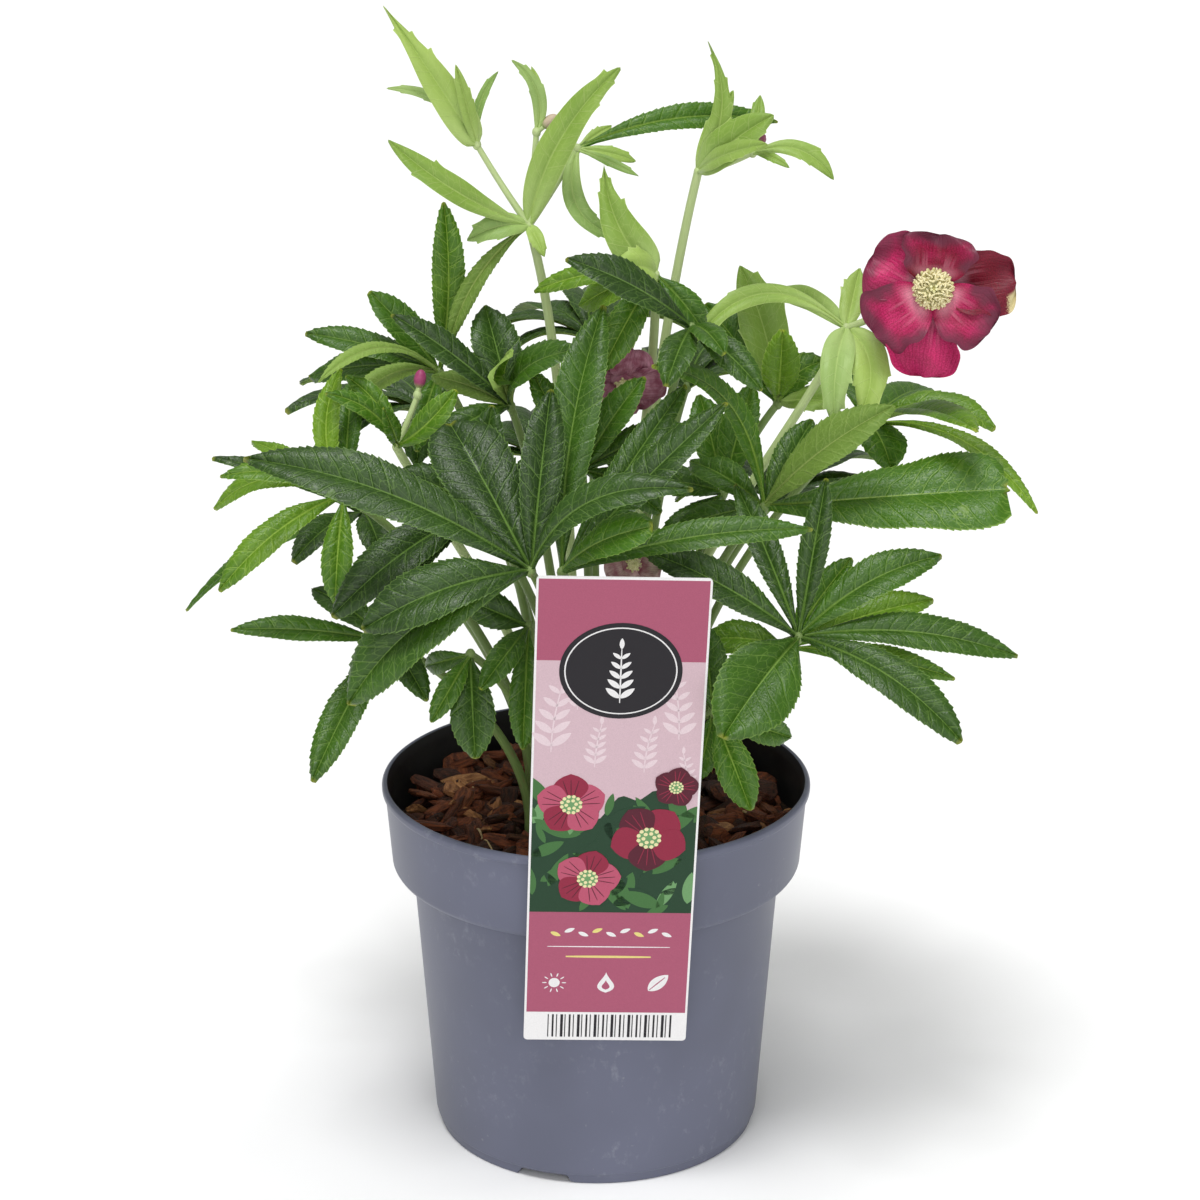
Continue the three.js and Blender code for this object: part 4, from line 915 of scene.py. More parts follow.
PLANTS = [
    plant("leaf_front", (-8, -24), FRONT, tuft(
        (-23, -92, 262),
        (-125, -80, 300, 23, 9, 0, 0.12, 3), (-88, -102, 215, 26, 12, -4, 0.25, 3),
        (-82, -96, 241, 23, 8, -4, 0.12),
        (-53, -62, 309, 29, 3, 0, 0.0, 0, "blunt"), (-16, -66, 322, 16, 3, 8, 0.03),
        (34, -106, 296, 15, 13, 0, 0.15, -6))),
    plant("leaf_centre", (4, -26), FRONT, tuft(
        (-12, -84, 259),
        (3, -58, 353, 19, 4, 0, 0.25, -4), (20, -106, 283, 15, 5, 10, 0.45, 0, "blunt"),
        (47, -70, 318, 16, 4, -6, 0.15), (33, -50, 320, 13, 3, 0, 0.2), (77, -90, 277, 13, 8, 0, 0.3))),
    plant("leaf_right", (20, -20), FRONT, tuft(
        (74, -72, 230),
        (45, -106, 204, 31, 4, -18, 0.3), (127, -58, 257, 17, 5, 0, 0.3, -3),
        (155, -68, 221, 16, 6, 0, 0.25, -3),
        (131, -92, 197, 18, 7, 0, 0.2, -3), (18, -56, 258, 17, 6, 0, 0.15), (84, -56, 286, 11, 2, 0, 0.15),
        (52, -44, 281, 12, 4, 0, 0.15))),
    plant("leaf_torn", (22, -8), FRONT, tuft(
        (63, -30, 267),
        (152, -40, 277, 35, 1, 0, 0.5, 0, "torn"), (109, -48, 311, 19, 6, 0, 0.2, 0, "leaflet", True),
        (20, -36, 320, 13, 3, 0, 0.5, 16), (82, -6, 294, 14, 2, 0, 0.25), (36, 0, 276, 15, 4, 0, 0.3),
        (30, -24, 256, 13, 3, 0, 0.3))),
    plant("leaf_upper_right", (22, 4), FRONT, tuft(
        (70, 12, 296),
        (55, 22, 348, 20, 2, 0, 0.2, 2, "lance"), (70, -8, 330, 15, 2, 0, 0.75), (42, 30, 331, 19, 3, 0, 0.4),
        (88, 4, 316, 15, 2, 0, 0.6, -3), (92, 2, 299, 13, 2, 0, 0.25, 0, "lance"))),
    plant("leaf_far_right", (28, 12), ABOVE, tuft(
        (106, 22, 285),
        (154, 10, 286, 17, 9, 0, 0.7, -3), (167, -22, 262, 10, 12, 0, 0.8, -3),
        (139, -15, 289, 18, 6, 0, 0.7, -3), (113, -10, 276, 19, 4, 0, 0.5), (136, 74, 285, 17, 5, 0, 0.35),
        (100, 66, 300, 16, 4, 0, 0.35))),
    plant("leaf_low_right", (28, -10), FRONT, tuft(
        (72, -44, 216),
        (127, -38, 233, 15, 5, 0, 0.75), (134, -56, 208, 11, 5, 0, 0.65), (41, -58, 224, 16, 4, 0, 0.65),
        (96, -30, 247, 13, 3, 0, 0.5))),
    plant("leaf_over_rim", (14, -32), VIEWER, tuft(
        (44, -54, 194),
        (58, -68, 160, 15, 3, 0, 0.5), (38, -64, 170, 11, 2, 0, 0.4), (40, -50, 228, 15, 2, 0, 0.3),
        (74, -44, 180, 12, 4, 0, 0.4))),
    plant("leaf_top_dark", (10, -16), FRONT, tuft(
        (35, -32, 336),
        (-11, -42, 364, 17, 5, 0, 0.08), (25, -54, 318, 13, 4, 0, 0.2), (60, -54, 318, 13, 4, 0, 0.2),
        (46, -64, 334, 11, 4, 0, 0.3))),
    plant("leaf_left_top", (-20, 6), FRONT, tuft(
        (-60, 10, 309),
        (-57, 4, 376, 13, 2, 0, 0.6, 3), (-86, 8, 341, 15, 2, 0, 0.35), (-111, 10, 324, 13, 4, 0, 0.3),
        (-101, -34, 315, 7, 9, 0, 0.6, 6, "leaflet", True), (-111, 20, 304, 16, 6, 0, 0.3),
        (-92, -8, 297, 10, 5, 0, 0.5, 4, "leaflet", True), (-68, -14, 284, 12, 4, 0, 0.4))),
    plant("leaf_left_centre", (-10, -8), FRONT, tuft(
        (-32, -15, 302),
        (-76, -18, 338, 13, 4, 0, 0.08), (-42, 2, 337, 19, 2, 0, 0.15), (-5, -40, 330, 17, 9, 0, 0.25),
        (-30, -44, 334, 14, 3, 0, 0.6, -3, "leaflet", True),
        (-62, -25, 318, 12, 3, 0, 0.3, 0, "leaflet", True),
        (-62, -34, 288, 14, 6, 0, 0.2))),
    plant("leaf_inner_left", (-6, -16), FRONT, tuft(
        (-44, -40, 268),
        (-84, -52, 240, 22, 7, 0, 0.1), (-74, -36, 282, 16, 4, 0, 0.15), (-38, -30, 306, 15, 3, 0, 0.1),
        (-22, -56, 268, 14, 4, 0, 0.1), (-96, -45, 228, 20, 8, 0, 0.08))),
    plant("leaf_inner_right", (-1, -15), FRONT, tuft(
        (-5, -34, 282),
        (-10, -46, 322, 14, 3, 0, 0.3), (18, -40, 320, 14, 3, 0, 0.35), (36, -38, 300, 14, 5, 0, 0.3),
        (24, -60, 274, 14, 6, 0, 0.3), (-30, -54, 288, 13, 5, 0, 0.1), (-24, -24, 318, 12, 2, 0, 0.5))),
    plant("leaf_inner_far", (32, 0), FRONT, tuft(
        (49, 4, 262),
        (40, 2, 304, 16, 3, 0, 0.4), (60, 6, 306, 15, 3, 0, 0.4), (22, -2, 268, 15, 4, 0, 0.3),
        (24, -14, 240, 15, 4, 0, 0.3))),
    plant("leaf_far_left", (-24, -12), FRONT, tuft(
        (-93, -42, 275),
        (-138, -48, 284, 10, 6, 0, 0.6, 2), (-143, -30, 266, 11, 9, 0, 0.75, 5),
        (-137, -70, 247, 13, 9, 0, 0.7),
        (-96, -64, 240, 12, 5, 0, 0.6), (-131, -18, 290, 8, 4, 0, 0.8), (-94, -28, 320, 10, 3, 0, 0.8, -6),
        (-92, -6, 310, 10, 3, 0, 0.4))),
    plant("leaf_side_left", (-26, 8), ABOVE, tuft(
        (-92, 24, 248),
        (-164, 28, 206, 11, 8, 0, 0.35), (-150, 20, 272, 12, 4, 0, 0.15), (-138, 62, 252, 17, 8, 0, 0.15),
        (-102, 78, 246, 16, 8, 0, 0.15), (-116, -14, 240, 15, 5, 0, 0.15), (-82, -14, 240, 14, 5, 0, 0.15))),
    plant("leaf_low_left", (-26, -22), FRONT, tuft(
        (-79, -40, 217),
        (-136, -52, 226, 11, 4, 0, 0.35), (-104, -84, 178, 15, 5, 0, 0.3), (-62, -72, 205, 12, 5, 0, 0.2),
        (-108, -22, 232, 13, 5, 0, 0.2))),
    plant("leaf_small_left", (-18, -30), VIEWER, tuft(
        (-46, -68, 222),
        (-44, -86, 188, 17, 3, 0, 0.2), (-60, -80, 200, 9, 4, 0, 0.4), (-63, -58, 214, 9, 3, 0, 0.3))),
    plant("leaf_low_centre", (-10, -36), VIEWER, tuft(
        (-25, -56, 229),
        (-27, -72, 186, 12, 3, 0, 0.4), (-42, -78, 212, 11, 4, 0, 0.3), (-48, -52, 238, 14, 4, 0, 0.2))),
    plant(
        "stem_top_left", (-8, 4), OPEN,
        tuft((-25, 0, 368), (9, -10, 428, 14, 3, 0, 0.35, -5, "bract"),
             (-76, -12, 402, 11, 3, 0, 0.2, -5, "lance"), (-55, -6, 324, 8, 4, 0, 0.15, 4, "leaflet", True),
             (-48, -10, 365, 11, 5, 0, 0.3, 0, "bract", True), (-19, -10, 358, 6, 2, 0, 0.6, 0, "bract")),
        tuft((-44, 0, 398), (-77, -8, 450, 14, 2, 0, 0.85, 0, "sheath"),
             (-77, -12, 423, 5, 2, 0, 0.8, 6, "lance", True), (-51, -4, 427, 6, 1, 0, 0.6, 0, "bract"),
             (-36, 8, 424, 4, 1, 0, 0.1, -3, "lance", True)),
        tuft((-22, 4, 402), (-31, 2, 429, 6, 1, 0, 0.5, 5, "bract", True),
             (-24, 8, 427, 4, 1, 0, 0.5, 2, "lance"), bud=(-17, 4, 406, 0.9)),
        tuft((-7, 9, 395), (69, 27, 402, 11, 4, 0, 0.45, -5), (6, 18, 402, 5, 1, 0, 0.5, 0, "lance"),
             (15, 10, 390, 6, 2, 0, 0.5, 0, "lance"), (16, -4, 387, 4, 1, 0, 0.2, 0, "lance", True),
             (14, 5, 360, 8.5, 2, 0, 0.3, 12, "bract", True)),
        stem=True, under=(-12, 6, 320), age=0.85),
    plant(
        "stem_centre", (6, -8), OPEN,
        tuft((22, -18, 353), (3, -12, 393, 17, 1, 0, 0.3, -5, "sheath"),
             (40, -38, 338, 12, 4, 0, 0.3),
             (2, -38, 321, 14, 4, 0, 0.55), (6, -30, 358, 15, 4, 0, 0.6, 0, "bract"),
             (-6, -6, 338, 14, 4, 0, 0.8), (-23, -6, 343, 9, 4, 0, 0.75, 2)),
        tuft((9.5, -17.8, 316)),
        stem=True, under=(24, -2, 300), age=0.8),
    plant(
        "stem_top_right", (12, 8), OPEN,
        tuft((38, 0, 388), (65, -12, 411, 16, 3, 0, 0.25, 0, "bract"),
        (41, 2, 436, 9, 1, 0, 0.25, 7, "sheath"),
             (51, 8, 417, 9, 1, 0, 0.45, 0, "bract"), (62, -12, 397, 10, 3, 0, 0.45, 0, "bract")),
        tuft((58, -2.6, 395.6), (88, -6, 386, 8, 4, 0, 0.35, -5, "lance"),
        (61, 9, 415, 6, 1, 0, 0.2, 0, "lance"),
             (79, 8, 395, 5, 2, 0, 0.35, 0, "lance"), (71, -14, 392, 4, 2, 0, 0.3, 0, "lance"),
             bud=(61, 5, 399, 0.1)),
        stem=True, under=(28, 12, 342), age=0.95),
    plant(
        "stem_of_bloom", (14, -2), OPEN,
        tuft((94, -6, 330), (35, -34, 331, 9, 5, 0, 0.4, 16, "lance"),
             (62, 22, 338, 11, 6, 0, 0.3, 4, "bract"),
             (88, -38, 302, 13, 8, 0, 0.6, 2, "bract", True), (98, -38, 305, 15, 6, 0, 0.9, -6, "bract"),
             (100, 12, 349, 10, 2, 0, 0.6, 0, "bract")),
        tuft((124.5, -19.45, 348)),
        stem=True, under=(72, -6, 280), age=0.9),
    plant(
        "stem_low", (4, -36), OPEN,
        tuft((12, -46.6, 249), (28, -62, 262, 10, 3, 0, 0.5), (2, -52, 268, 10, 3, 0, 0.5)),
        stem=True, under=(12, -40, 215), age=0.6),
    plant(
        "stem_left", (-18, -4), OPEN,
        tuft((-74, -32, 291), (-51, -40, 315, 11, 3, 0, 0.65, 3), (-99, -42, 314, 8, 3, 0, 0.55, 4),
             (-93, -24, 316, 9, 3, 0, 0.6, 3), (-77, -54, 312, 7, 2, 0, 0.5)),
        tuft((-66, -29, 310), bud=(-65, -28, 316, 0.0)),
        stem=True, under=(-58, -24, 256), age=0.75),
]

# Leaves behind the plant: name, foot, hub, the way they lean in degrees, reach, width and number of leaflets.
FANS = [
    ("leaf_back_left", (-16, 20), (-66, 48, 282), 155, 60, 20, 6),
    ("leaf_back", (-6, 26), (-22, 54, 262), 98, 46, 21, 7),
    ("leaf_back_right", (14, 20), (36, 52, 292), 70, 50, 20, 6),
    ("leaf_back_low", (24, 20), (72, 48, 246), 40, 60, 20, 6),
    ("leaf_middle", (0, 14), (-2, 28, 318), 95, 52, 18, 6),
]
SPREAD = (0, 36, -36, 72, -72, 110, -110)
STEM_RADIUS, PETIOLE_RADIUS = 2.2, 2.0
STEM_KNOT, PETIOLE_KNOT = 1.7, 2.0
BUD_SIZE, BUD_GROOVE = (2.3, 2.3, 3.6), 0.09
# What a blade is where its row in the table ends early: its bend, its form and whether it is turned over.
PLAIN_BLADE = (0, "leaflet", False)


def fan_plant(name, foot, at, heading, reach, width, count):
    """A leaf whose leaflets fan out on both sides of the way it leans."""
    blades = []
    for turn in SPREAD[:count]:
        angle = math.radians(heading + turn)
        length = reach * (1 - 0.0022 * abs(turn))
        x, y = at[0] + length * math.cos(angle), at[1] + length * math.sin(angle)
        z = at[2] + 6 - 0.12 * abs(turn)
        blades.append((x, y, z, width * (1 - 0.002 * abs(turn)), 8, 0, 0.15))
    return plant(name, foot, LEVEL, tuft(at, *blades))


def as_grown(spec, corners):
    """The blade as the CAD node has it: the one of its variants whose tip is a corner there, or None."""
    root, tip = np.array(spec["root"], float), np.array(spec["tip"], float)
    for share, shift in product(SHARES, SHIFTS):
        end = (tip + RECEDE * shift - root) * share + root
        if np.min(np.linalg.norm(corners - end, axis=1)) < SAME_CORNER:
            return make_blade(**{**spec, "tip": end, "width": spec["width"] * share})
    return None


def add_stalks(piece, one):
    """The leaf's or stem's stalks: the first from the soil, the others from where it forks."""
    foot, clear = np.array([*one.foot, STEM_FOOT]), np.array([*one.foot, STEM_CLEAR])
    first = np.array(one.tufts[0].at, float)
    rise = first[2] - clear[2]
    under = clear + 0.6 * (first - clear)
    under[2] = clear[2] + 0.86 * rise
    if one.under:
        under = np.array(one.under, float)
    curve = bezier([clear, clear + (0, 0, 0.42 * rise), under, first], np.linspace(0, 1, 26))
    thick = STEM_RADIUS if one.stem else PETIOLE_RADIUS
    seed = 10 * (one.foot[0] + 50)
    add_tube(piece, [foot, *curve], [thick, thick * 0.75], STALK, 10, one.age, seed)
    for branch in one.tufts[1:]:
        end = np.array(branch.at, float)
        middle = (first + end) / 2 - (0, 0, 1.5)
        curve = bezier([first, middle, end], np.linspace(0, 1, 9))
        add_tube(piece, curve, [thick * 0.65, thick * 0.5], STALK, 9, one.age, seed + 5)


def add_bud(piece, here, age):
    at, end, pale = np.array(here.at, float), np.array(here.bud[:3], float), here.bud[3]
    add_tube(piece, [at, (at + end) / 2, end], [1.1, 1.0], STALK, 8, age)
    add_ball(piece, end, end - at, BUD_SIZE, BUD, 12, 20, pale, BUD_GROOVE)


def slot_of(one):
    if one.stem:
        return "stem"
    return "young_leaf" if one.name == "leaf_far_left" else "leaf"


def grow(one):
    """One leaf or flowering stem, as one piece that stands for its CAD node."""
    piece = Piece(one.name + "_grown")
    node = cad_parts[one.name]
    corners = np.array([corner.co for corner in node.data.vertices]) / MM
    knot = STEM_KNOT if one.stem else PETIOLE_KNOT
    add_stalks(piece, one)
    for number, here in enumerate(one.tufts):
        add_ball(piece, here.at, (0, 0, 1), (knot, knot, 1.2 * knot), STALK, 5, 10, one.age)
        for index, (x, y, z, width, arch, roll, age, *rest) in enumerate(here.blades):
            bend, form, turned = [*rest, *PLAIN_BLADE[len(rest):]]
            spec = dict(
                root=here.at, tip=(x, y, z), width=width * SLENDERNESS, arch=arch, roll=roll, bend=bend,
                face=one.face, form=FORMS[form], phase=2.1 * index + number,
            )
            blade = as_grown(spec, corners)
            if blade:
                seed = 37.0 * (index + 1) + 11 * number + 0.7 * one.foot[0]
                add_leaflet(piece, blade, age, seed, turned)
        if here.bud:
            add_bud(piece, here, one.age)
    piece.build(slot_of(one), [one.name], 60)


# ---------------------------------------------------------------- blooms
# Each sepal: its angle round the bloom, length, width, layer (1 in front) and how dark it is.
OPEN_SEPALS = [
    (85, 20, 27, 1, 0.5), (-37, 26, 24, 1, 0.2), (-142, 27, 26, 1, 0.15),
    (151, 25.5, 27, -1, 0.1), (7, 30, 25, -1, 0.75), (-96, 32.3, 26, -1, 0.0),
]


def even_sepals(count, length, start):
    """Sepals of one size, spread evenly, in front and behind by turns."""
    turns = [start + 360 / count * i for i in range(count)]
    return [(turn, length, 1.02 * length, 1 if i % 2 == 0 else -1, 0.5) for i, turn in enumerate(turns)]


BLOOMS = [
    ("bloom_front", (124, -24, 349), (-0.11, -0.97, 0.21), 1, OPEN_SEPALS, (SEPAL_FACE, SEPAL_BACK)),
    ("bloom_hidden", (10, -22, 314), (0.1, -0.75, -0.3), 0.54, even_sepals(5, 16, 80), (DUSKY, DUSKY)),
    ("bloom_faded", (13, -52, 251.5), (0.2, -0.8, 0.3), 0.4, even_sepals(5, 11, 60), (PALE, PALE)),
]
SEPAL_COLUMNS = np.sin(np.linspace(-np.pi / 2, np.pi / 2, 21))
SEPAL_ROWS = 1 - (1 - np.linspace(0, 1, 31)[:-1]) ** 1.6
SEPAL_ROOT, SEPAL_LAYER = 1.8, 1.7
LARGE_TUFT = SimpleNamespace(nectaries=20, stamens=150)
SMALL_TUFT = SimpleNamespace(nectaries=7, stamens=30)
PISTILS, STAMEN_SEED, GOLDEN_TURN = 5, 77, 2.39996


def sepal_relief(width, index):
    """The height of a sepal's folds as a function. index makes each sepal's folds differ."""
    def relief(s, t, u, v):
        cup = 0.11 * width * s * s * np.sin(np.pi * np.clip(t, 0, 1))
        ruffle = 0.055 * width * np.sin(4.6 * s + 6 * t + 1.9 * index) * smooth(t, 0.3, 0.9)
        fine = 0.015 * width * np.sin(13 * s + 7 * t + 3 * index) * smooth(t, 0.3, 0.8) * np.abs(s)
        crease = -0.02 * width * np.exp(-((s / 0.07) ** 2)) * (1 - t)
        return cup + ruffle + fine + crease

    return relief


def sepal_waver(index):
    """How a sepal's edges waver, as a function."""
    def waver(s, t):
        slow = 0.10 * np.sin(8.5 * t + 2.6 * index + 2.1 * (s > 0))
        return (slow + 0.035 * np.sin(21 * t + 1.3 * index + (s > 0))) * np.abs(s) * smooth(t, 0.3, 0.6)

    return waver


def make_sepals(name, centre, facing, size, sepals, looks):
    piece = Piece(name + "_petals")
    centre, normal = np.array(centre, float), unit(facing)
    across, up = turned_axes(normal)
    no_teeth = np.zeros((len(SEPAL_ROWS), 2))
    add_ball(piece, centre, normal, (5, 5, 2.6), looks[0], 8, 18)
    for index, (turn, length, width, side, tone) in enumerate(sepals):
        angle = math.radians(turn)
        out = across * math.cos(angle) + up * math.sin(angle)
        layer = SEPAL_LAYER * side
        blade = make_blade(
            root=centre + out * SEPAL_ROOT + normal * layer * 0.3,
            tip=centre + out * length + normal * (layer + 2 * size),
            width=width, arch=2 * size, roll=0, bend=0, face=normal, form=FORMS["sepal"], phase=index,
        )
        add_blade(piece, blade, SEPAL_ROWS, SEPAL_COLUMNS, no_teeth, sepal_relief(width, index), looks, tone,
                  50.0 * index, sepal_waver(index))
    piece.build("sepal", [name + "_sepals"], 60)


def add_stamen(piece, draw, base, around, size, number, share):
    """One stamen. share goes from 0 at the top of their dome to 1 at its foot."""
    tilt = math.radians(18 + 66 * share ** 0.6 + draw.uniform(-4, 4))
    angle = GOLDEN_TURN * number + draw.uniform(-0.15, 0.15)
    out = around(tilt, angle)
    low = around(min(tilt * 1.15, 1.5), angle)
    tip = base + out * ((draw.uniform(5.2, 6.0) + 1.3 * share) * size)
    curve = bezier([base + low * 1.8 * size, base + low * 4.0 * size, tip], np.linspace(0, 1, 5))
    add_tube(piece, curve, [0.3 * size, 0.24 * size], FILAMENT, 5)
    lean = unit(out + 0.9 * draw.normal(size=3))
    add_ball(piece, tip, lean, (0.52 * size, 0.38 * size, 1.2 * size), ANTHER, 4, 7)


def make_stamens(name, centre, facing, size):
    """A dense dome of stamens round the pistils, with a ring of small nectaries at its foot."""
    piece = Piece(name + "_tuft")
    draw = np.random.default_rng(STAMEN_SEED)
    normal = unit(facing)
    across, up = turned_axes(normal)
    base = np.array(centre, float) + normal * (2.7 + 3.2 * size)
    counts = LARGE_TUFT if size > 0.8 else SMALL_TUFT
    add_ball(piece, base - normal * 0.4 * size, normal, (5.6 * size, 5.6 * size, 3.4 * size), FILAMENT, 9, 24)

    def around(tilt, angle):
        return normal * math.cos(tilt) + (across * math.cos(angle) + up * math.sin(angle)) * math.sin(tilt)

    for k in range(counts.nectaries):
        out = around(math.radians(88), 2 * math.pi * k / counts.nectaries)
        foot = base - normal * 2.6 * size + out * 4.8 * size
        tip = foot + (out * 2.9 + normal * 1.7) * size
        add_tube(piece, [foot, (foot + tip) / 2 + normal * 0.3 * size, tip],
                 [0.7 * size, 1.15 * size, 0.45 * size], NECTARY, 8)
    for k in range(PISTILS):
        out = around(math.radians(9 + 5 * (k % 2)), 2.4 * k)
        add_tube(piece, [base, base + out * 3.6 * size, base + out * 6.0 * size + across * 0.3],
                 [0.9 * size, 0.7 * size, 0.5 * size], NECTARY, 7)
    for k in range(counts.stamens):
        add_stamen(piece, draw, base, around, size, k, (k + 0.5) / counts.stamens)
    piece.build("stamen", [name + "_stamens"], 60)


# ---------------------------------------------------------------- label
LABEL_WIDTH, LABEL_HEIGHT, LABEL_THICK = 61.9, 198.9, 0.8
LABEL_CENTRE = (6.8, -90.9, 166.6)
LABEL_YAW, LABEL_LEAN, LABEL_ROLL = 2, 9.3, 1.7
INK_STEP = 0.012
# Heights on the label: the strip's top, the band's top and the picture's top, from the label's middle.
STRIP_TOP, BAND_TOP, PICTURE_TOP = -86.5, -41.0, 66.0
EDGE, TOP = LABEL_WIDTH / 2 - 0.8, LABEL_HEIGHT / 2 - 0.8
PICTURE = ((-EDGE, BAND_TOP), (EDGE, PICTURE_TOP))
# Each sprig: x, z, height and lean.
SPRIGS = (
    (-24, 28, 30, 4), (22, 34, 26, -3), (-8, 22, 18, 2), (10, 20, 20, 3), (26, 12, 16, -2), (-15, 46, 14, -2),
)
# Each flower: x, z, radius, the inks of its petals and the angle of the first.
FLOWERS = (
    (-16, 6, 13, ("crimson", "rose"), 20), (13, -8, 14.5, ("wine", "crimson"), 52),
    (-9, -26, 12.5, ("crimson", "rose"), 5), (22, 14, 8.5, ("wine", "wine"), 80),
)
BADGE_OVALS = ((22, 19.5, "night"), (20.2, 17.7, "white"), (19.7, 17.2, "night"))
BADGE_HEIGHT, MEADOW_SEED = 62, 9


def about(axis, degrees):
    return Matrix.Rotation(math.radians(degrees), 4, axis)


LABEL_PLACE = (
    Matrix.Translation(LABEL_CENTRE) @ about("Z", LABEL_YAW) @ about("X", LABEL_LEAN) @ about("Y", LABEL_ROLL)
)


def ink(name, colour):
    dark = tuple(0.88 * part for part in colour)
    return grainy("ink_" + name, dark, colour, 0.35, (0.30, 0.40), 0.006, Specular_IOR_Level=0.25)


INK_COLOURS = {
    "magenta": (0.390, 0.092, 0.160), "pink": (0.620, 0.450, 0.500), "blush": (0.740, 0.600, 0.640),
    "white": (0.800, 0.790, 0.790), "night": (0.016, 0.014, 0.018), "crimson": (0.270, 0.018, 0.050),
    "wine": (0.090, 0.010, 0.024), "rose": (0.470, 0.085, 0.150), "green": (0.055, 0.160, 0.045),
    "deep_green": (0.014, 0.050, 0.022), "pale_green": (0.150, 0.320, 0.130),
    "cream": (0.780, 0.720, 0.400), "yellow": (0.760, 0.660, 0.220),
}
INKS = {name: ink(name, colour) for name, colour in INK_COLOURS.items()}


def clipped(points, low, high):
    """A polygon cut off at an upright box's sides."""
    for axis, limit, sign in ((0, low[0], 1), (0, high[0], -1), (1, low[1], 1), (1, high[1], -1)):
        kept = []
        for i, point in enumerate(points):
            before = points[i - 1]
            ins, was = sign * (point[axis] - limit) >= 0, sign * (before[axis] - limit) >= 0
            if ins != was:
                share = (limit - before[axis]) / (point[axis] - before[axis])
                kept.append(before + share * (point - before))
            if ins:
                kept.append(point)
        points = kept
    return np.array(points)


class Print:
    """Flat inked shapes on the label's face, each a hair above the one before."""

    def __init__(self):
        self.piece = Piece("label_print")
        self.height = LABEL_THICK / 2

    def layer(self):
        self.height += INK_STEP

    def back_to(self, count):
        self.height = LABEL_THICK / 2 + count * INK_STEP

    def shape(self, points, ink_name, box=None):
        """A flat shape, as a thin body that reaches down into the label."""
        points = np.asarray(points, float)
        if box:
            points = clipped(points, *box)
        count = len(points)
        if count < 3:
            return
        flat = [Vector((x, z, 0)) for x, z in points]
        placed = []
        for depth in (-self.height, -LABEL_THICK / 2 + 0.01):
            placed += [LABEL_PLACE @ Vector((x, depth, z)) for x, z in points]
        faces = []
        for a, b, c in tessellate_polygon([flat]):
            area = (flat[b] - flat[a]).cross(flat[c] - flat[a]).z
            a, b, c = (a, b, c) if area > 0 else (a, c, b)
            faces += [(a, b, c), (count + a, count + c, count + b)]
        turns = [points[i - 1][0] * points[i][1] - points[i][0] * points[i - 1][1] for i in range(count)]
        for i in range(count):
            j = (i + 1) % count
            side = (i, count + i, count + j, j)
            faces.append(side if sum(turns) > 0 else side[::-1])
        self.piece.add(np.array([list(point) for point in placed]), faces, INKS[ink_name])

    def box(self, x0, z0, x1, z1, ink_name):
        self.shape([(x0, z0), (x1, z0), (x1, z1), (x0, z1)], ink_name)

    def oval(self, x, z, wide, tall, ink_name, count=40):
        self.shape(circle_points(count) * (wide, tall) + (x, z), ink_name)

    def line(self, points, width, ink_name, box=None):
        """A stroke of even width that narrows at its ends."""
        points = np.asarray(points, float)
        along = unit(np.gradient(points, axis=0))
        across = np.stack([-along[:, 1], along[:, 0]], -1)
        ends = np.sin(np.linspace(0.25, np.pi - 0.25, len(points))) ** 0.4
        reach = across * (width / 2 * ends)[:, None]
        self.shape(np.concatenate([points - reach, (points + reach)[::-1]]), ink_name, box)

    def petal(self, x, z, angle, length, width, ink_name, point=0.9, box=None):
        """A leaf or petal from its foot; point is how far its tip draws in."""
        t = np.linspace(0, 1, 13)[1:-1]
        half = width / 2 * (np.sin(np.pi * t ** point)) ** 0.75
        left, right = np.stack([length * t, -half], -1), np.stack([length * t, half], -1)[::-1]
        outline = np.concatenate([[(0, 0)], left, [(length, 0)], right])
        turn = np.radians(angle)
        matrix = np.array([(math.cos(turn), math.sin(turn)), (-math.sin(turn), math.cos(turn))])
        self.shape(outline @ matrix + (x, z), ink_name, box)


def print_sprig(art, x, z, height, ink_name, leaves=4, lean=0.0):
    """A plain upright sprig: a curved stalk with pairs of leaves."""
    t = np.linspace(0, 1, 12)
    stalk = np.stack([x + lean * t ** 2, z + height * t], -1)
    art.line(stalk, 0.55, ink_name)
    for k in range(1, leaves + 1):
        foot = stalk[int(11 * k / (leaves + 1))]
        long = 0.3 * height * (1.1 - 0.6 * k / (leaves + 1))
        art.petal(*foot, 38, long, long * 0.36, ink_name)
        art.petal(*foot, 142, long, long * 0.36, ink_name)
    art.petal(*stalk[-1], 90, 0.2 * height, 0.08 * height, ink_name)


def print_flower(art, x, z, radius, inks, start):
    """An open flower of five round petals, with veins and a tuft of dots."""
    back, front = inks
    vein = "wine" if back != "wine" else "crimson"
    for k in range(5):
        angle = start + 72 * k
        art.layer()
        art.petal(x, z, angle, radius, radius * 0.98, back if k % 2 else front, 1.25, PICTURE)
        for swing in (-16, 0, 16):
            reach = np.linspace(0.25, 0.82, 6)[:, None] * radius * direction(math.radians(angle + swing))
            art.height += INK_STEP / 2
            art.line(reach + (x, z), 0.35, vein, PICTURE)
            art.height -= INK_STEP / 2
    art.layer()
    art.oval(x, z, 0.3 * radius, 0.3 * radius, "pale_green", 20)
    art.layer()
    for ring, count in ((0.14, 6), (0.27, 12)):
        for dx, dz in circle_points(count, ring * radius, ring):
            art.oval(x + dx, z + dz, 0.055 * radius, 0.055 * radius, "cream", 8)


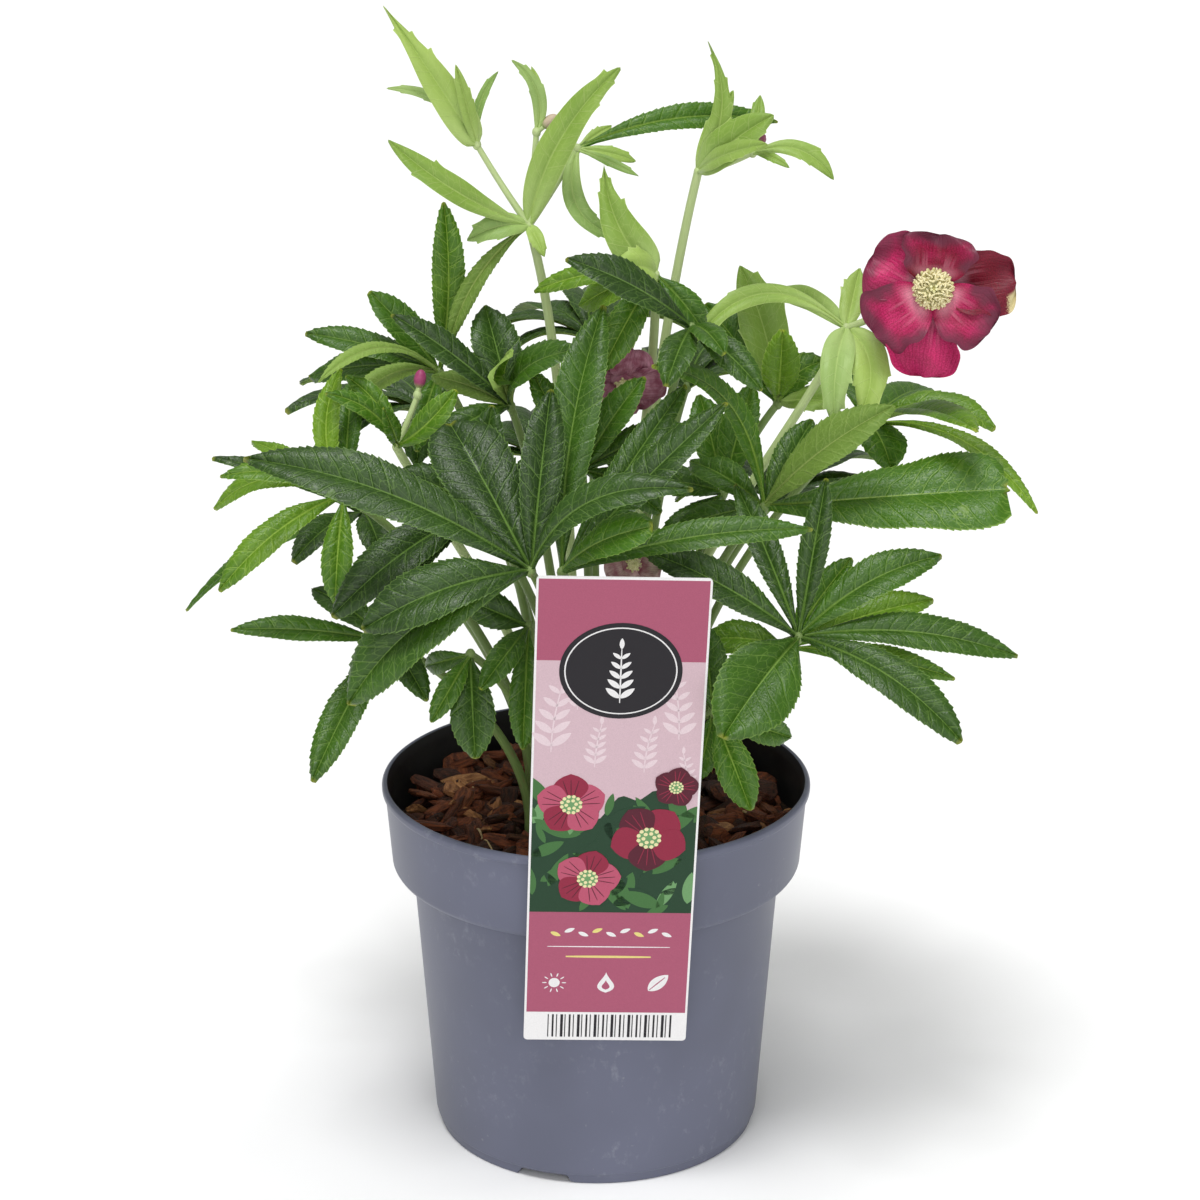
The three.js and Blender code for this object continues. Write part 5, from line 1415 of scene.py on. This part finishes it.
def print_icons(art, z):
    """Three plain signs for plant care: a sun, a drop and a leaf."""
    left, middle, right = -20.0, -0.5, 19.0
    art.oval(left, z, 2.1, 2.1, "white", 24)
    for dx, dz in circle_points(10):
        art.line([(left + r * dx, z + r * dz) for r in (2.9, 3.7, 4.5)], 0.5, "white")
    art.petal(middle, z + 5, -90, 9.4, 6.4, "white", 1.9)
    art.petal(right - 3.4, z - 3.4, 45, 10.4, 5.2, "white")
    art.layer()
    art.line([(right - 3, z - 3), (right, z), (right + 2.8, z + 2.8)], 0.5, "magenta")
    art.petal(middle, z + 1.4, -90, 4.4, 3.0, "magenta", 1.9)


def print_fields(art):
    """The label's coloured ground, the picture's ground on it and the pale sprigs there."""
    art.layer()
    art.box(-EDGE, STRIP_TOP, EDGE, TOP, "magenta")
    art.layer()
    art.box(-EDGE, BAND_TOP, EDGE, PICTURE_TOP, "pink")
    art.layer()
    for x, z, height, lean in SPRIGS:
        print_sprig(art, x, z, height, "blush", 5, lean)


def print_meadow(art):
    """Dark foliage under a wavy line, in layers, with the flowers over it."""
    draw = np.random.default_rng(MEADOW_SEED)
    art.layer()
    hill = np.linspace(-EDGE, EDGE, 30)
    crest = zip(hill, 6 + 5 * np.sin(hill / 7) + 2.5 * np.sin(hill / 2.3 + 1))
    art.shape([*crest, (EDGE, BAND_TOP), (-EDGE, BAND_TOP)], "deep_green")
    for _ in range(5):
        art.layer()
        for _ in range(15):
            x, z = draw.uniform(-EDGE, EDGE), draw.uniform(BAND_TOP - 2, 6)
            tone = ("green", "deep_green", "pale_green")[draw.choice(3, p=(0.5, 0.38, 0.12))]
            length = draw.uniform(9, 17)
            angle, width = draw.uniform(10, 170), length * draw.uniform(0.26, 0.4)
            art.petal(x, z, angle, length, width, tone, box=PICTURE)
    for flower in FLOWERS:
        print_flower(art, *flower)


def print_badge(art):
    """A ringed dark oval with a white sprig."""
    art.back_to(7)
    for wide, tall, ink_name in BADGE_OVALS:
        art.oval(0, BADGE_HEIGHT, wide, tall, ink_name, 64)
        art.layer()
    print_sprig(art, 0, BADGE_HEIGHT - 13, 22, "white", 5)


def print_band(art):
    """The band under the picture: a row of small leaves between lines, signs for care, and upright bars."""
    art.back_to(2)
    art.line([(-23 + 46 * k / 9, BAND_TOP - 15.5) for k in range(10)], 0.45, "white")
    for k in range(9):
        angle, ink_name = 24 if k % 2 else -24, "white" if k % 3 else "yellow"
        art.petal(-22 + 5.2 * k, BAND_TOP - 9, angle, 4.2, 1.7, ink_name)
    art.line([(-16 + 32 * k / 9, BAND_TOP - 20) for k in range(10)], 1.0, "yellow")
    print_icons(art, -73)
    for k in range(30):
        left, wide = -22 + 1.6 * k, (0.5, 0.9, 0.5, 1.3)[k % 4]
        art.box(left, -98, left + 0.8 * wide, -87.6, "night")


def make_label():
    art = Print()
    for print_part in (print_fields, print_meadow, print_badge, print_band):
        print_part(art)
    repaint("label", CARD)
    art.piece.build("label", sharp=40)


# ---------------------------------------------------------------- stage
CAMERA_AT = (1.56, -1073.0, 582.0)
CAMERA_PITCH, CAMERA_LENS = 18.63, 87.2
FLOOR_HALF = 9.0
FLOOR_CORNERS = ((-1, -1), (1, -1), (1, 1), (-1, 1))
WORLD_STRENGTH = 0.36
# Each sun: its name, where it stands, its strength and how far it spreads in degrees.
SUNS = (
    ("key", (-0.12, -0.32, 1.0), 2.0, 20),
    ("top", (0.1, 0.25, 1.0), 0.35, 16),
    ("front", (0.05, -1.0, 0.4), 1.0, 50),
)


def make_camera():
    data = bpy.data.cameras.new("camera")
    data.sensor_width, data.lens = 36.0, CAMERA_LENS
    camera = bpy.data.objects.new("camera", data)
    camera.location = Vector(CAMERA_AT) * MM
    camera.rotation_euler = (math.radians(90 - CAMERA_PITCH), 0, 0)
    bpy.context.scene.collection.objects.link(camera)
    bpy.context.scene.camera = camera


def add_sun(name, direction, strength, spread):
    """A lamp whose light comes from a direction everywhere alike, softened over a spread in degrees."""
    data = bpy.data.lights.new(name, "SUN")
    data.energy, data.angle = strength, math.radians(spread)
    lamp = bpy.data.objects.new(name, data)
    lamp.rotation_euler = Vector(direction).to_track_quat("Z", "Y").to_euler()
    bpy.context.scene.collection.objects.link(lamp)


def make_stage():
    look = Look("floor_paper", Roughness=0.9)
    grain = look.noise(look.here(), 3.0)
    floor_colour = look.mix(grain, (0.93, 0.93, 0.93), (0.96, 0.96, 0.96))
    mesh = bpy.data.meshes.new("floor")
    mesh.from_pydata([(x * FLOOR_HALF, y * FLOOR_HALF, 0) for x, y in FLOOR_CORNERS], [], [(0, 1, 2, 3)])
    mesh.materials.append(look.finish(floor_colour))
    floor = bpy.data.objects.new("floor", mesh)
    bpy.context.scene.collection.objects.link(floor)
    world = bpy.data.worlds.new("studio")
    world.use_nodes = True
    world.node_tree.nodes["Background"].inputs["Color"].default_value = (1, 1, 1, 1)
    world.node_tree.nodes["Background"].inputs["Strength"].default_value = WORLD_STRENGTH
    bpy.context.scene.world = world
    for name, direction, strength, spread in SUNS:
        add_sun(name, direction, strength, spread)
    bpy.context.scene.view_settings.view_transform = "Standard"


# ---------------------------------------------------------------- making it all
make_camera()
make_stage()
everything = PLANTS + [fan_plant(*fan) for fan in FANS]
make_pot()
make_bark([one.foot for one in everything])
make_label()
for one in everything:
    grow(one)
for bloom in BLOOMS:
    make_sepals(*bloom)
    make_stamens(*bloom[:4])
